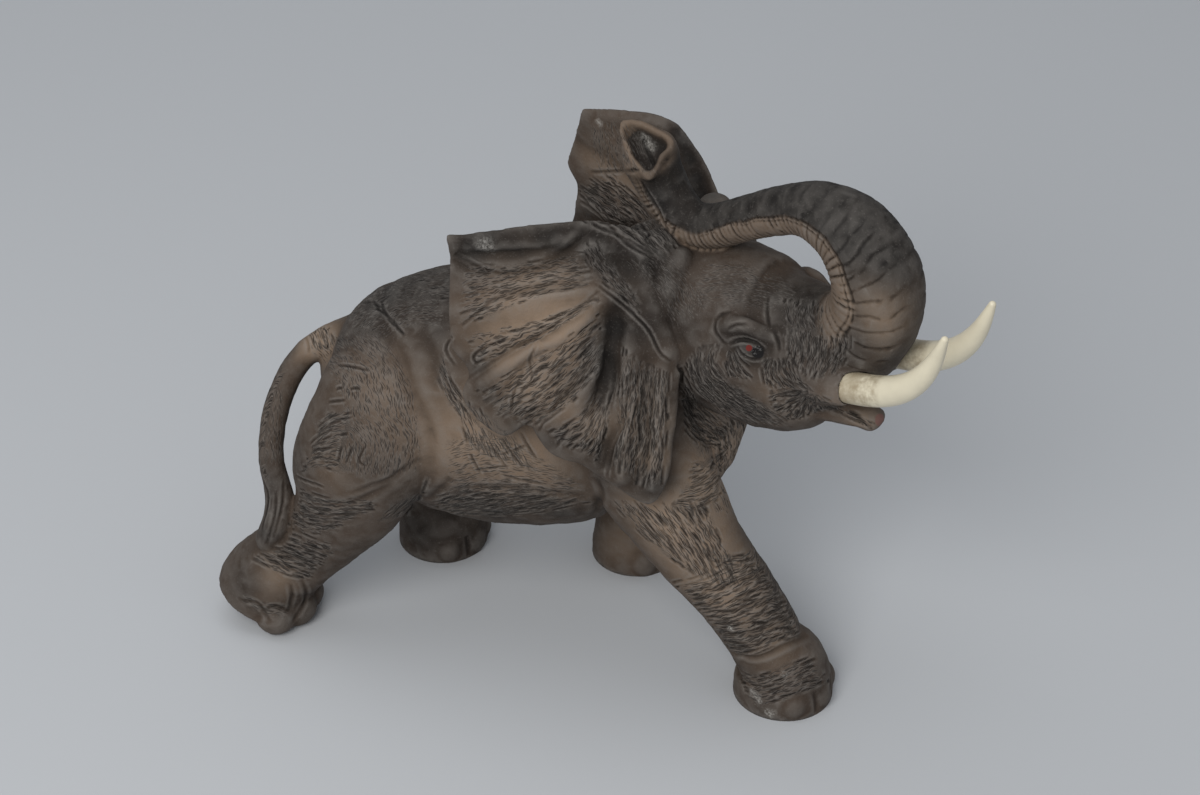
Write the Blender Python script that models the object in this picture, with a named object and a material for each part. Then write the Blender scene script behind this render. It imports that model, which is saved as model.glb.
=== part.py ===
"""Bisque figurine of an elephant that strides with its trunk thrown back over its head.

Metres, +Z up. The elephant walks towards +X and turns its head to its right, towards -Y. The origin is on
the ground, under the middle of the whole figure. The body, legs, ears, trunk and tail are one casting; the
two tusks are pieces of their own, each set in a socket in the upper lip.

The animal's form is written in shares of its own length: 240 shares make FIGURE_LENGTH. What can be made
to a size of its own, such as the thickness of the ears or the tusks and their sockets, is in metres.
"""

import math

import bmesh
import bpy
import numpy as np
from mathutils import Matrix, Vector

# Driving dimensions, in metres
FIGURE_LENGTH = 0.240
EAR_THICKNESS = 0.0044
TUSK_LENGTH = 0.046
TUSK_RADIUS = 0.0047
TUSK_TIP_RADIUS = 0.00075
SOCKET_DEPTH = 0.0075
SOCKET_CLEARANCE = 0.0003
LIP_WALL = 0.0020
TAIL_RADIUS = 0.0041
TRUNK_BASE_RADIUS = 0.0132
TRUNK_WAIST_RADIUS = 0.0065
TRUNK_TIP_RADIUS = 0.0092
NOSTRIL_DEPTH = 0.0050
FOOT_RADIUS = 0.0150

# How finely the form is worked out
SHARES = 240
SHARE = FIGURE_LENGTH / SHARES
BLEND_VOXEL = 1.5 * SHARE
BLEND_PASSES = 5
BODY_TRIANGLES = 8400
RING_SIDES = 28
CAP_STEPS = 4
TUSK_SIDES = 12
TUSK_RINGS = 10
SOCKET_RINGS = 5
EAR_RINGS = 15
EAR_RIM_STEPS = 5

# The head turns about an upright line through the neck
NECK_X = 35.0
HEAD_TURN = math.radians(28)
LEFT = 1
RIGHT = -1

# Where the toes stand around the front of a foot, in degrees
TOE_TURNS = (-66, -22, 22, 66)

# The rim of the trunk's end, as (degrees round it, share of the tip's radius), over how many rings it takes
# that shape, and the hollow inside it, as (share of the rim's size, share of the hollow's depth)
TRUNK_RIM = (
    (-45, 0.90), (-15, 0.76), (8, 0.66), (40, 0.74), (68, 1.04), (88, 1.26), (106, 0.98), (130, 0.68),
    (180, 0.66), (212, 0.86), (229, 1.14), (248, 0.90), (280, 0.66), (315, 0.90), (345, 0.76), (368, 0.66),
)
RIM_SPREAD = 5
HOLLOW = ((0.80, 0.0), (0.66, 0.55), (0.42, 0.9), (0.15, 1.0))

# Where the tusks leave the lip, in shares about the head, and how steeply they rise there and at the tip
TUSK_ROOT = (70.0, 11.3, 136.0)
TUSK_START_ANGLE = math.radians(14)
TUSK_END_ANGLE = math.radians(74)


def clear_scene():
    for thing in list(bpy.data.objects):
        bpy.data.objects.remove(thing, do_unlink=True)


def material(name, colour, roughness):
    made = bpy.data.materials.new(name)
    made.use_nodes = True
    shader = made.node_tree.nodes["Principled BSDF"]
    shader.inputs["Base Color"].default_value = (*colour, 1.0)
    shader.inputs["Roughness"].default_value = roughness
    shader.inputs["Metallic"].default_value = 0.0
    made.diffuse_color = (*colour, 1.0)
    return made


def head_point(ahead, left, up):
    """Shares ahead of the neck line and to the left of the head's middle, as a point in metres."""
    turn = HEAD_TURN
    x = NECK_X + ahead * math.cos(turn) + left * math.sin(turn)
    y = -ahead * math.sin(turn) + left * math.cos(turn)
    return np.array([x, y, up]) * SHARE


def head_side():
    """The direction to the head's left."""
    return np.array([math.sin(HEAD_TURN), math.cos(HEAD_TURN), 0.0])


def smooth_rows(rows, per_span):
    """More rows between the given ones, on Catmull-Rom curves."""
    rows = np.asarray(rows, float)
    padded = np.vstack([2 * rows[0] - rows[1], rows, 2 * rows[-1] - rows[-2]])
    made = []
    for before, start, end, after in zip(padded, padded[1:], padded[2:], padded[3:]):
        for t in np.arange(per_span) / per_span:
            made.append(
                0.5
                * (
                    2 * start
                    + (end - before) * t
                    + (2 * before - 5 * start + 4 * end - after) * t**2
                    + (3 * start - before - 3 * end + after) * t**3
                )
            )
    made.append(rows[-1])
    return np.array(made)


def unit(rows):
    return rows / np.linalg.norm(rows, axis=-1, keepdims=True)


def bridge(mesh, rings):
    """Closed skin over rings of equal size, with a flat fan at each end."""
    verts = [[mesh.verts.new(point) for point in ring] for ring in rings]
    count = len(verts[0])
    for lower, upper in zip(verts, verts[1:]):
        for i in range(count):
            j = (i + 1) % count
            mesh.faces.new((lower[i], lower[j], upper[j], upper[i]))
    mesh.faces.new(list(reversed(verts[0])))
    mesh.faces.new(verts[-1])


def tube_rings(centres, widths, depths, side, sides=RING_SIDES, per_span=4, blunt=False):
    """Rings of a tube in metres, round at its ends, or flat at the last one where it is blunt. Widths lie
    along side, depths across it."""
    rows = smooth_rows(np.column_stack([centres, widths, depths]), per_span)
    middle = rows[:, :3]
    ahead = unit(np.gradient(middle, axis=0))
    across = unit(side - (ahead @ side)[:, None] * ahead)
    third = np.cross(ahead, across)
    around = np.arange(sides) * 2 * math.pi / sides

    def ring(i, push, scale):
        reach = min(rows[i, 3], rows[i, 4])
        centre = middle[i] + ahead[i] * push * reach
        wide = np.outer(np.cos(around), across[i]) * rows[i, 3] * scale
        deep = np.outer(np.sin(around), third[i]) * rows[i, 4] * scale
        return centre + wide + deep

    rings = []
    steps = [math.pi / 2 * k / CAP_STEPS for k in range(1, CAP_STEPS)]
    for angle in reversed(steps):
        rings.append(ring(0, -math.sin(angle), math.cos(angle)))
    for i in range(len(rows)):
        rings.append(ring(i, 0.0, 1.0))
    if not blunt:
        for angle in steps:
            rings.append(ring(-1, math.sin(angle), math.cos(angle)))
    return rings


def tube(mesh, centres, widths, depths, side, sides=RING_SIDES, per_span=4, blunt=False):
    bridge(mesh, tube_rings(centres, widths, depths, side, sides, per_span, blunt))


def limb(mesh, stations, blunt=False):
    """Tube through stations of (x, y, z, half-width, half-depth), in shares."""
    rows = np.array(stations, float) * SHARE
    tube(mesh, rows[:, :3], rows[:, 3], rows[:, 4], np.array([0.0, 1.0, 0.0]), blunt=blunt)


def head_rings(stations, blunt=False):
    """Rings through stations of (ahead, left, up, half-width, half-depth) about the head, in shares."""
    rows = np.array(stations, float)
    centres = np.array([head_point(*row[:3]) for row in rows])
    return tube_rings(centres, rows[:, 3] * SHARE, rows[:, 4] * SHARE, head_side(), blunt=blunt)


def head_limb(mesh, stations):
    bridge(mesh, head_rings(stations))


def ball(mesh, centre, radii, turn=0.0):
    """Ellipsoid at a point in shares, with radii in shares, turned about the upright line."""
    place = Matrix.Translation(Vector(centre) * SHARE) @ Matrix.Rotation(turn, 4, "Z")
    size = Matrix.Diagonal((*(Vector(radii) * SHARE), 1.0))
    bmesh.ops.create_uvsphere(mesh, u_segments=24, v_segments=14, radius=1.0, matrix=place @ size)


def head_ball(mesh, ahead, left, up, radii):
    centre = head_point(ahead, left, up) / SHARE
    ball(mesh, centre, radii, -HEAD_TURN)


# Torso, with the hips, shoulders and neck


def add_torso(mesh):
    limb(
        mesh,
        [
            (-70, 3, 84, 11, 14),
            (-66, 3, 84.5, 22, 24),
            (-58, 3, 84, 29, 33),
            (-44, 3, 83, 34.5, 39.5),
            (-26, 3, 82.5, 36.5, 42.5),
            (-8, 3, 83.5, 36.5, 42),
            (8, 3, 86, 34.5, 39.5),
            (20, 3, 86, 30.5, 37),
            (32, 3, 83, 24, 32),
        ],
    )
    limb(mesh, [(4, 1, 106, 21, 27), (18, -2, 116, 21, 29), (30, -6, 124, 20, 27)])
    ball(mesh, (-54, 0, 90), (21, 33, 25))


def add_hind_legs(mesh):
    foot = FOOT_RADIUS / SHARE
    limb(
        mesh,
        [
            (-52, -16, 91, 18, 22),
            (-55.5, -20.5, 79, 18, 23),
            (-62, -22, 66, 16, 21.5),
            (-66.5, -22.5, 52, 13.6, 17.5),
            (-73, -22, 39.5, 11.8, 13.4),
            (-80, -22, 30, 11, 11.6),
            (-87, -21.5, 22, 12, 12),
        ],
    )
    limb(
        mesh,
        [
            (-48, 18, 90, 18, 25),
            (-49, 23, 72, 17, 23),
            (-51, 27, 52, 14, 17),
            (-51, 28, 36, 12, 13.5),
            (-51, 28.5, 24, 12, 13),
            (-51, 28.5, 12, foot * 0.93, foot * 0.96),
            (-51, 28.5, 3, foot * 0.98, foot),
            (-51, 28.5, -6, foot * 0.98, foot),
        ],
    )


def add_raised_foot(mesh):
    """The right hind foot, rocked forward onto its toes, with its flat sole showing behind."""
    foot = FOOT_RADIUS / SHARE
    limb(
        mesh,
        [
            (-86, -21.5, 27, 11.5, 12),
            (-91, -21, 20, foot * 0.9, foot * 0.93),
            (-95.5, -21, 13, foot * 0.96, foot * 1.03),
            (-98.5, -21, 6.8, foot * 0.96, foot * 1.03),
        ],
        blunt=True,
    )
    for turn in TOE_TURNS:
        angle = math.radians(turn)
        toe_x = -94.5 + 0.62 * foot * math.cos(angle)
        toe_y = -21 + 0.66 * foot * math.sin(angle)
        ball(mesh, (toe_x, toe_y, 0.42 * foot), (0.46 * foot, 0.46 * foot, 0.46 * foot), angle)


def add_fore_legs(mesh):
    foot = FOOT_RADIUS / SHARE
    limb(
        mesh,
        [
            (20, -15, 98, 15, 20),
            (28, -19, 84, 15.5, 20.5),
            (37.5, -22, 69, 13.8, 18),
            (47, -23, 54, 12.6, 15),
            (57, -23, 40.5, 12, 13.2),
            (65.5, -23, 27.5, 11.8, 12.4),
            (70, -23, 18.5, 11.4, 12),
            (74, -22.5, 12, foot * 0.92, foot * 0.95),
            (75, -22, 4, foot, foot * 1.05),
            (75, -22, -6, foot, foot * 1.05),
        ],
    )
    limb(
        mesh,
        [
            (20, 22, 94, 15, 20),
            (18, 27, 76, 14, 17),
            (15, 31, 58, 12, 14),
            (14, 34.5, 40, 11, 12),
            (14.5, 36, 24, 11, 11.5),
            (14.5, 36, 12, foot * 0.88, foot * 0.91),
            (14.5, 36, 3, foot * 0.95, foot * 0.98),
            (14.5, 36, -6, foot * 0.95, foot * 0.98),
        ],
    )


def add_toes(mesh):
    """Rounded toes along the front of each foot that stands flat."""
    foot = FOOT_RADIUS / SHARE
    for x, y in ((75, -22), (14.5, 36), (-51, 28.5)):
        for turn in TOE_TURNS:
            angle = math.radians(turn)
            toe_x = x + 0.84 * foot * math.cos(angle)
            toe_y = y + 0.8 * foot * math.sin(angle)
            ball(mesh, (toe_x, toe_y, 0.3 * foot), (0.28 * foot, 0.3 * foot, 0.37 * foot), angle)


def add_tail(mesh):
    radius = TAIL_RADIUS / SHARE
    limb(
        mesh,
        [
            (-68, 3, 97, radius * 1.9, radius * 2.0),
            (-77, 3, 94, radius * 1.4, radius * 1.4),
            (-85, 1.5, 89.5, radius * 1.05, radius * 1.05),
            (-90, -3, 82.5, radius, radius),
            (-92.5, -8, 75, radius, radius),
            (-93.5, -13, 67, radius, radius),
            (-92.5, -18, 59, radius, radius),
            (-89, -23, 50, radius * 1.2, radius * 1.1),
            (-89, -25, 43, radius * 1.5, radius * 1.15),
            (-92.5, -26.5, 34.5, radius * 1.1, radius),
        ],
    )


# Head, jaw and trunk


def add_head(mesh):
    lip = (TUSK_RADIUS + LIP_WALL) / SHARE
    head_limb(
        mesh,
        [
            (-8, 0, 127, 18.5, 24),
            (2, 0, 128, 21, 26.5),
            (15, 0, 128, 22, 27.5),
            (28, 0, 128.5, 21, 28),
            (40, 0, 130, 19, 26.5),
            (50, 0, 134.5, 16.5, 21),
            (58, 0, 138.5, 14.5, 17),
        ],
    )
    head_limb(
        mesh,
        [(34, 0, 113, 14, 12), (48, 0, 117, 10.5, 8.3), (57, 0, 118.4, 8.2, 5), (64, 0, 119, 6.6, 3.6),
         (72, 0, 119.2, 4.6, 3)],
    )
    for side in (LEFT, RIGHT):
        head_ball(mesh, 38, side * 16.4, 136.5, (4.6, 3.2, 3.9))
        head_limb(
            mesh,
            [
                (27, side * 17.3, 139, 1.5, 2.2),
                (36, side * 16.4, 144.2, 2.2, 3.0),
                (46, side * 14.0, 142.5, 1.5, 2.2),
            ],
        )
        head_limb(
            mesh,
            [
                (52, side * 8, 134, lip * 1.2, lip * 1.25),
                (62, side * 10, 135, lip * 1.2, lip * 1.2),
                (67, side * 11, 135.6, lip, lip),
            ],
        )
        head_limb(
            mesh,
            [
                (2, side * 13, 154, 6, 6),
                (0, side * 18, 142, 6.5, 7),
                (1, side * 19.5, 128, 6, 6),
                (5, side * 19.5, 114, 4, 5),
            ],
        )
        head_limb(
            mesh,
            [
                (8, side * 11, 151, 5.5, 5),
                (9, side * 16.5, 144, 5.5, 5),
                (9, side * 20, 136, 4.5, 4),
            ],
        )


def trunk_stations():
    """Stations of the trunk about the head, from the face to the rim of the nostrils, in shares."""
    base = TRUNK_BASE_RADIUS / SHARE
    waist = TRUNK_WAIST_RADIUS / SHARE
    tip = TRUNK_TIP_RADIUS / SHARE
    return [
        (58, 0, 138, base * 1.05, base * 1.2),
        (66, 0, 147, base * 1.02, base * 1.06),
        (71, 0, 158, base, base),
        (69.5, 0, 169, base * 0.96, base * 0.96),
        (61.5, 0, 177.5, base * 0.86, base * 0.86),
        (51, 0, 180, base * 0.69, base * 0.69),
        (40.5, 0, 177.4, waist * 1.12, waist * 1.12),
        (26, -1, 169.3, waist, waist),
        (14.5, -2, 162, waist, waist),
        (5.5, -2.5, 160, waist * 1.03, waist * 1.03),
        (-1.5, -3, 164.5, waist * 1.08, waist * 1.08),
        (-6.5, -3.6, 171.5, tip * 0.86, tip * 0.84),
        (-8.6, -5, 178.3, tip * 0.98, tip * 0.94),
        (-7.3, -8, 182.7, tip, tip),
    ]


def add_trunk(mesh):
    """The trunk, opening out at its end into a soft three-cornered rim round a shallow hollow."""
    rings = head_rings(trunk_stations(), blunt=True)
    turns, reaches = smooth_rows(TRUNK_RIM, 8).T
    around = np.linspace(0, 360, RING_SIDES, endpoint=False)
    rim = np.interp(around, turns, reaches)[:, None]
    for step in range(1, RIM_SPREAD + 1):
        part = 1 - (step - 1) / RIM_SPREAD
        ring = rings[-step]
        centre = ring.mean(0)
        rings[-step] = centre + (ring - centre) * (1 + (rim - 1) * part)
    end = rings[-1]
    centre = end.mean(0)
    inward = unit(rings[-2].mean(0) - centre)
    for size, depth in HOLLOW:
        rings.append(centre + (end - centre) * size + inward * depth * NOSTRIL_DEPTH)
    bridge(mesh, rings)


# Ears


def height_through(points):
    """Smooth height over a plane, as a function of (a, b), through points of (a, b, height)."""
    points = np.array(points, float)
    count = len(points)

    def bend(distance):
        return distance**2 * np.log(distance + 1e-6)

    def spread(a, b):
        return np.hypot(a[..., None] - points[:, 0], b[..., None] - points[:, 1])

    flat = np.column_stack([np.ones(count), points[:, :2]])
    system = np.zeros((count + 3, count + 3))
    system[:count, :count] = bend(spread(points[:, 0], points[:, 1]))
    system[:count, count:] = flat
    system[count:, :count] = flat.T
    weights = np.linalg.solve(system, np.concatenate([points[:, 2], np.zeros(3)]))

    def height(a, b):
        tilt = weights[count] + weights[count + 1] * a + weights[count + 2] * b
        return bend(spread(a, b)) @ weights[:count] + tilt

    return height


def away_from_line(a, b, line):
    """Distance in a plane from each point (a, b) to a line of straight runs."""
    nearest = np.full(np.shape(a), np.inf)
    for (a0, b0), (a1, b1) in zip(line, line[1:]):
        run = np.array([a1 - a0, b1 - b0])
        t = np.clip(((a - a0) * run[0] + (b - b0) * run[1]) / (run @ run), 0.0, 1.0)
        nearest = np.minimum(nearest, np.hypot(a - a0 - t * run[0], b - b0 - t * run[1]))
    return nearest


def folds(a, b, lines):
    """Height of folds and valleys, each a (line, half-width, height)."""
    total = np.zeros(np.shape(a))
    for line, width, height in lines:
        total += height * np.exp(-((away_from_line(a, b, line) / width) ** 2))
    return total


def add_ear(mesh, outline, heart, seat, relief, side, fill):
    """Folded sheet over the X-Z plane. The outline is (x, z) about a heart point, seat gives the distance
    from the middle plane, and fill (low, high, reach) thickens the sheet inwards below a height."""
    rim = smooth_rows(outline + outline[:1], EAR_RIM_STEPS)[:-1]
    around = len(rim)
    share = np.sin(np.linspace(0.0, math.pi / 2, EAR_RINGS + 1))[:, None]
    x = heart[0] + (rim[:, 0] - heart[0]) * share
    z = heart[1] + (rim[:, 1] - heart[1]) * share
    out = seat(x, z) + folds(x, z, relief)
    half = EAR_THICKNESS / SHARE / 2 * np.sqrt(np.clip(1.05 - share**6, 0.0, 1.0))
    low, high, reach = fill
    sunk = np.clip((high - z) / (high - low), 0.0, 1.0)
    inner = out - half - reach * sunk * sunk * (3 - 2 * sunk) * (1 - share**10)
    outer = out + half

    faces = []
    sheets = []
    for depth in (outer, inner):
        points = np.stack([x, side * depth, z], axis=-1) * SHARE
        centre = mesh.verts.new(points[0, 0])
        grid = [[mesh.verts.new(point) for point in ring] for ring in points[1:]]
        sheets.append(grid)
        for i in range(around):
            j = (i + 1) % around
            faces.append([centre, grid[0][i], grid[0][j]])
            for near, far in zip(grid, grid[1:]):
                faces.append([near[i], far[i], far[j], near[j]])
    for i in range(around):
        j = (i + 1) % around
        faces.append([sheets[0][-1][i], sheets[1][-1][i], sheets[1][-1][j], sheets[0][-1][j]])
    made = [mesh.faces.new(face) for face in faces]
    bmesh.ops.recalc_face_normals(mesh, faces=made)


def add_right_ear(mesh):
    """Flat along the neck and shoulder, with a rolled upper rim and three lobes below."""
    outline = [
        (28, 161), (13, 166), (-6, 165.5), (-23, 163.5), (-27, 163.5), (-26.5, 159), (-26, 150), (-26, 138), (-25, 128), (-20, 121),
        (-22, 113), (-17, 105), (-9, 101), (-2, 105), (5, 97), (15, 94), (25, 88), (35, 82.5),
        (40, 91), (41, 105), (41.5, 118), (40.5, 130), (35, 141), (31, 151),
    ]
    seat = height_through([
        (27, 160, 16), (12, 165, 21), (-6, 165, 27), (-26, 163, 33), (-27, 140, 37), (-22, 115, 40),
        (-2, 104, 41), (15, 94, 42), (36, 84, 41), (41, 105, 37), (41, 126, 29), (33, 145, 22),
        (8, 130, 35), (20, 115, 38), (24, 140, 27),
    ])
    relief = [
        ([(24, 152), (5, 157), (-22, 157)], 3.0, -2.2),
        ([(20, 146), (0, 132), (-16, 120)], 3.0, 1.8),
        ([(14, 149), (-6, 143), (-24, 141)], 3.5, 1.2),
        ([(20, 140), (10, 122), (0, 108)], 3.0, -2.0),
        ([(22, 138), (22, 120), (21, 98)], 3.2, -3.0),
        ([(27, 132), (28, 112), (27, 92)], 2.4, 1.8),
        ([(32, 128), (32, 108), (31, 90)], 2.2, -1.6),
        ([(37, 130), (37, 108), (36, 90)], 2.4, 1.2),
        ([(27, 156), (33, 143), (39, 132)], 3.0, 1.6),
    ]
    add_ear(mesh, outline, (8, 128), seat, relief, RIGHT, (112, 130, 12))


def add_left_ear(mesh):
    """Spread out behind the raised trunk, its front rim curled over."""
    outline = [
        (50, 142), (41, 154), (32, 164), (22, 170.5), (9, 169.5), (-2, 166.5), (-5, 165), (-6, 161),
        (-9, 150), (-11, 142), (-7.5, 135.5), (-8.5, 126), (-10, 114), (-4, 104), (5, 99), (15, 94), (25, 87), (34, 84),
        (39, 92), (44, 106), (49, 120), (51, 132),
    ]
    seat = height_through([
        (49, 143, 15), (36, 160, 27), (24, 171, 34), (8, 171, 38), (-4, 166, 42), (-10, 142, 47),
        (-9, 116, 46), (8, 98, 43), (34, 84, 41), (43, 106, 30), (49, 124, 17), (12, 134, 36),
        (24, 150, 28), (28, 115, 36),
    ])
    relief = [
        ([(24, 146), (8, 150), (-6, 152)], 3.0, 1.4),
        ([(26, 140), (8, 132), (-8, 130)], 3.2, -1.6),
        ([(26, 134), (16, 114), (8, 102)], 3.2, 1.6),
        ([(32, 130), (31, 112), (30, 92)], 2.6, -1.6),
        ([(42, 144), (36, 158), (26, 167)], 3.0, 2.4),
    ]
    add_ear(mesh, outline, (16, 132), seat, relief, LEFT, (108, 126, 12))


# Putting the casting together


def evaluated(thing):
    """A new mesh of the object as its modifiers leave it."""
    graph = bpy.context.evaluated_depsgraph_get()
    return bpy.data.meshes.new_from_object(thing.evaluated_get(graph))


def new_object(name, mesh):
    thing = bpy.data.objects.new(name, mesh)
    bpy.context.collection.objects.link(thing)
    return thing


def blended_form():
    """The casting's masses, melted into one skin."""
    masses = bmesh.new()
    add_torso(masses)
    add_hind_legs(masses)
    add_raised_foot(masses)
    add_fore_legs(masses)
    add_toes(masses)
    add_tail(masses)
    add_head(masses)
    add_trunk(masses)
    add_right_ear(masses)
    add_left_ear(masses)
    bmesh.ops.recalc_face_normals(masses, faces=masses.faces)
    mesh = bpy.data.meshes.new("masses")
    masses.to_mesh(mesh)
    masses.free()
    thing = new_object("masses", mesh)
    melt = thing.modifiers.new("Melt", "REMESH")
    melt.mode = "VOXEL"
    melt.voxel_size = BLEND_VOXEL
    soften = thing.modifiers.new("Soften", "SMOOTH")
    soften.factor = 0.5
    soften.iterations = BLEND_PASSES
    skin = evaluated(thing)
    bpy.data.objects.remove(thing, do_unlink=True)
    return skin


def thinned(mesh, triangles):
    """The mesh with its faces merged where it is flat, down to a number of triangles."""
    thing = new_object("thinning", mesh)
    mesh.calc_loop_triangles()
    thin = thing.modifiers.new("Thin", "DECIMATE")
    thin.ratio = min(1.0, triangles / len(mesh.loop_triangles))
    made = evaluated(thing)
    bpy.data.objects.remove(thing, do_unlink=True)
    return made


def cutter(name, mesh):
    """An object that only cuts others."""
    thing = new_object(name, mesh)
    thing.hide_render = True
    thing.display_type = "WIRE"
    return thing


def cut(thing, tool):
    chop = thing.modifiers.new(tool.name, "BOOLEAN")
    chop.operation = "DIFFERENCE"
    chop.solver = "EXACT"
    chop.object = tool


def ground_block():
    mesh = bpy.data.meshes.new("ground")
    block = bmesh.new()
    bmesh.ops.create_cube(block, size=2 * FIGURE_LENGTH)
    bmesh.ops.translate(block, verts=block.verts, vec=(0.0, 0.0, -FIGURE_LENGTH))
    block.to_mesh(mesh)
    block.free()
    return cutter("ground_block", mesh)


# Tusks and their sockets


def tusk_line(side, inset, length, count):
    """Centre line from inset inside the lip to length beyond it, and the share of the way along."""
    travelled = np.linspace(-inset, length, count)
    share = np.clip(travelled / TUSK_LENGTH, 0.0, 1.0)
    angle = TUSK_START_ANGLE + (TUSK_END_ANGLE - TUSK_START_ANGLE) * share * share * (3 - 2 * share)
    step = (length + inset) / (count - 1)
    forward = np.array([math.cos(HEAD_TURN), -math.sin(HEAD_TURN), 0.0])
    ways = np.outer(np.cos(angle), forward) + np.outer(np.sin(angle), (0.0, 0.0, 1.0))
    middle = 0.5 * (ways[1:] + ways[:-1]) * step
    run = np.vstack([np.zeros(3), np.cumsum(middle, axis=0)])
    lip = np.array([np.interp(0.0, travelled, run[:, axis]) for axis in range(3)])
    root = head_point(TUSK_ROOT[0], side * TUSK_ROOT[1], TUSK_ROOT[2])
    return root + run - lip, share


def tusk_mesh(name, side, inset, length, extra, rings):
    """Tapering tusk or, made wider by extra, the hole it sits in."""
    line, share = tusk_line(side, inset, length, rings)
    radii = TUSK_RADIUS - (TUSK_RADIUS - TUSK_TIP_RADIUS) * share**2.2 + extra
    made = bmesh.new()
    tube(made, line, radii, radii, head_side(), TUSK_SIDES, 1)
    bmesh.ops.recalc_face_normals(made, faces=made.faces)
    mesh = bpy.data.meshes.new(name)
    made.to_mesh(mesh)
    made.free()
    return mesh


def tusk(name, side, finish):
    thing = new_object(name, tusk_mesh(name, side, SOCKET_DEPTH, TUSK_LENGTH, 0.0, TUSK_RINGS))
    thing.data.materials.append(finish)
    thing.data.shade_smooth()
    return thing


def socket(name, side):
    beyond = 2 * TUSK_RADIUS
    inset = SOCKET_DEPTH + SOCKET_CLEARANCE
    return cutter(name, tusk_mesh(name, side, inset, beyond, SOCKET_CLEARANCE, SOCKET_RINGS))


def shift_to_centre(things):
    """The move along the ground that brings the middle of the figure's box over the origin."""
    bpy.context.view_layer.update()
    graph = bpy.context.evaluated_depsgraph_get()
    corners = []
    for thing in things:
        shape = thing.evaluated_get(graph)
        for point in shape.data.vertices:
            corners.append(shape.matrix_world @ point.co)
    low = np.min(corners, axis=0)
    high = np.max(corners, axis=0)
    return Vector((-(low[0] + high[0]) / 2, -(low[1] + high[1]) / 2, 0.0))


def main():
    clear_scene()
    bisque = material("bisque", (0.17, 0.13, 0.11), 0.75)
    ivory = material("ivory_glaze", (0.86, 0.82, 0.70), 0.35)
    skin = thinned(blended_form(), BODY_TRIANGLES)
    skin.materials.clear()
    skin.materials.append(bisque)
    elephant = new_object("elephant", skin)
    tools = [ground_block(), socket("right_socket", RIGHT), socket("left_socket", LEFT)]
    for tool in tools:
        cut(elephant, tool)
    right = tusk("tusk_right", RIGHT, ivory)
    left = tusk("tusk_left", LEFT, ivory)
    shift = shift_to_centre([elephant, right, left])
    for thing in [elephant, right, left, *tools]:
        thing.location = shift


main()
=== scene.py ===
"""Looks of the bisque elephant: its carved and airbrushed skin, its tusks, and a plain studio around it.

The casting is built again here from the same masses as the solid, much finer. Then folds, wrinkles and tool
strokes are carved into it, and dark wash, airbrushed shade and light patches are painted where they belong;
painted shade darkens its grooves, hollows and undersides, and the hollow behind the trunk.
Masses are in shares about the drawing's own origin: one share is a millimetre. What is read off the
photograph is in its pixels, 1200 by 795, and is cast onto the form through the photograph's own camera.
"""

import math

import bmesh
import bpy
import numpy as np
from mathutils import Matrix, Vector
from mathutils.bvhtree import BVHTree


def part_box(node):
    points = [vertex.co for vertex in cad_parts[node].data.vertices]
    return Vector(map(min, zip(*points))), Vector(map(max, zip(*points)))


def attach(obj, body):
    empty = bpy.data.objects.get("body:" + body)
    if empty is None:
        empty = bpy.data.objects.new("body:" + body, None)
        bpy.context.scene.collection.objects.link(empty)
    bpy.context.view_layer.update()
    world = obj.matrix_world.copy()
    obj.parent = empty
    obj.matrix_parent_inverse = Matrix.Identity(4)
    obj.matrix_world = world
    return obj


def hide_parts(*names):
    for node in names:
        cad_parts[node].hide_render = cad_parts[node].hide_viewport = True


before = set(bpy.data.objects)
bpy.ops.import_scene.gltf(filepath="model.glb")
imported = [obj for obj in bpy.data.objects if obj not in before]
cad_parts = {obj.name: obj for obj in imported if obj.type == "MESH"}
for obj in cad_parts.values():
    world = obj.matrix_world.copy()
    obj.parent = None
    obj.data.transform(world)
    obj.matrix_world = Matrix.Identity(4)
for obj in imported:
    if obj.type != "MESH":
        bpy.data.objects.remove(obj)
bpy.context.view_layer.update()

# Driving dimensions, in metres
SHARE = 0.001
EAR_THICKNESS = 0.0044
TUSK_LENGTH = 0.046
TUSK_RADIUS = 0.0047
TUSK_TIP_RADIUS = 0.0011
SOCKET_DEPTH = 0.0075
SOCKET_CLEARANCE = 0.0003
LIP_WALL = 0.0020
TAIL_RADIUS = 0.0041
TRUNK_BASE_RADIUS = 0.0132
TRUNK_WAIST_RADIUS = 0.0065
TRUNK_TIP_RADIUS = 0.0092
NOSTRIL_DEPTH = 0.0050
FOOT_RADIUS = 0.0150

# How finely the casting is worked out
VOXEL = 0.00055
SOFTEN_LENGTH = 0.0013
HATCH_SHARE = 0.6
CASTING_TRIANGLES = 194000
RING_SIDES = 48
SPAN_STEPS = 8
CAP_STEPS = 6
EAR_RINGS = 30
EAR_RIM_STEPS = 10

# The head turns about an upright line through the neck
NECK_X = 35.0
HEAD_TURN = math.radians(28)
LEFT = 1
RIGHT = -1
TOE_TURNS = (-66, -22, 22, 66)

# The rim of the trunk's end, as (degrees round it, share of the tip's radius), over how many rings it takes
# that shape, and the hollow inside it, as (share of the rim's size, share of the hollow's depth)
TRUNK_RIM = (
    (-45, 0.90), (-15, 0.76), (8, 0.66), (40, 0.74), (68, 1.04), (88, 1.26), (106, 0.98), (130, 0.68),
    (180, 0.66), (212, 0.86), (229, 1.14), (248, 0.90), (280, 0.66), (315, 0.90), (345, 0.76), (368, 0.66),
)
RIM_SPREAD = 10
HOLLOW = ((0.80, 0.0), (0.66, 0.55), (0.42, 0.9), (0.15, 1.0))

# Where the tusks leave the lip, in shares about the head, and how steeply they rise there and at the tip
TUSK_ROOT = (70.0, 11.3, 136.0)
TUSK_START_ANGLE = math.radians(14)
TUSK_END_ANGLE = math.radians(74)

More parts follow.
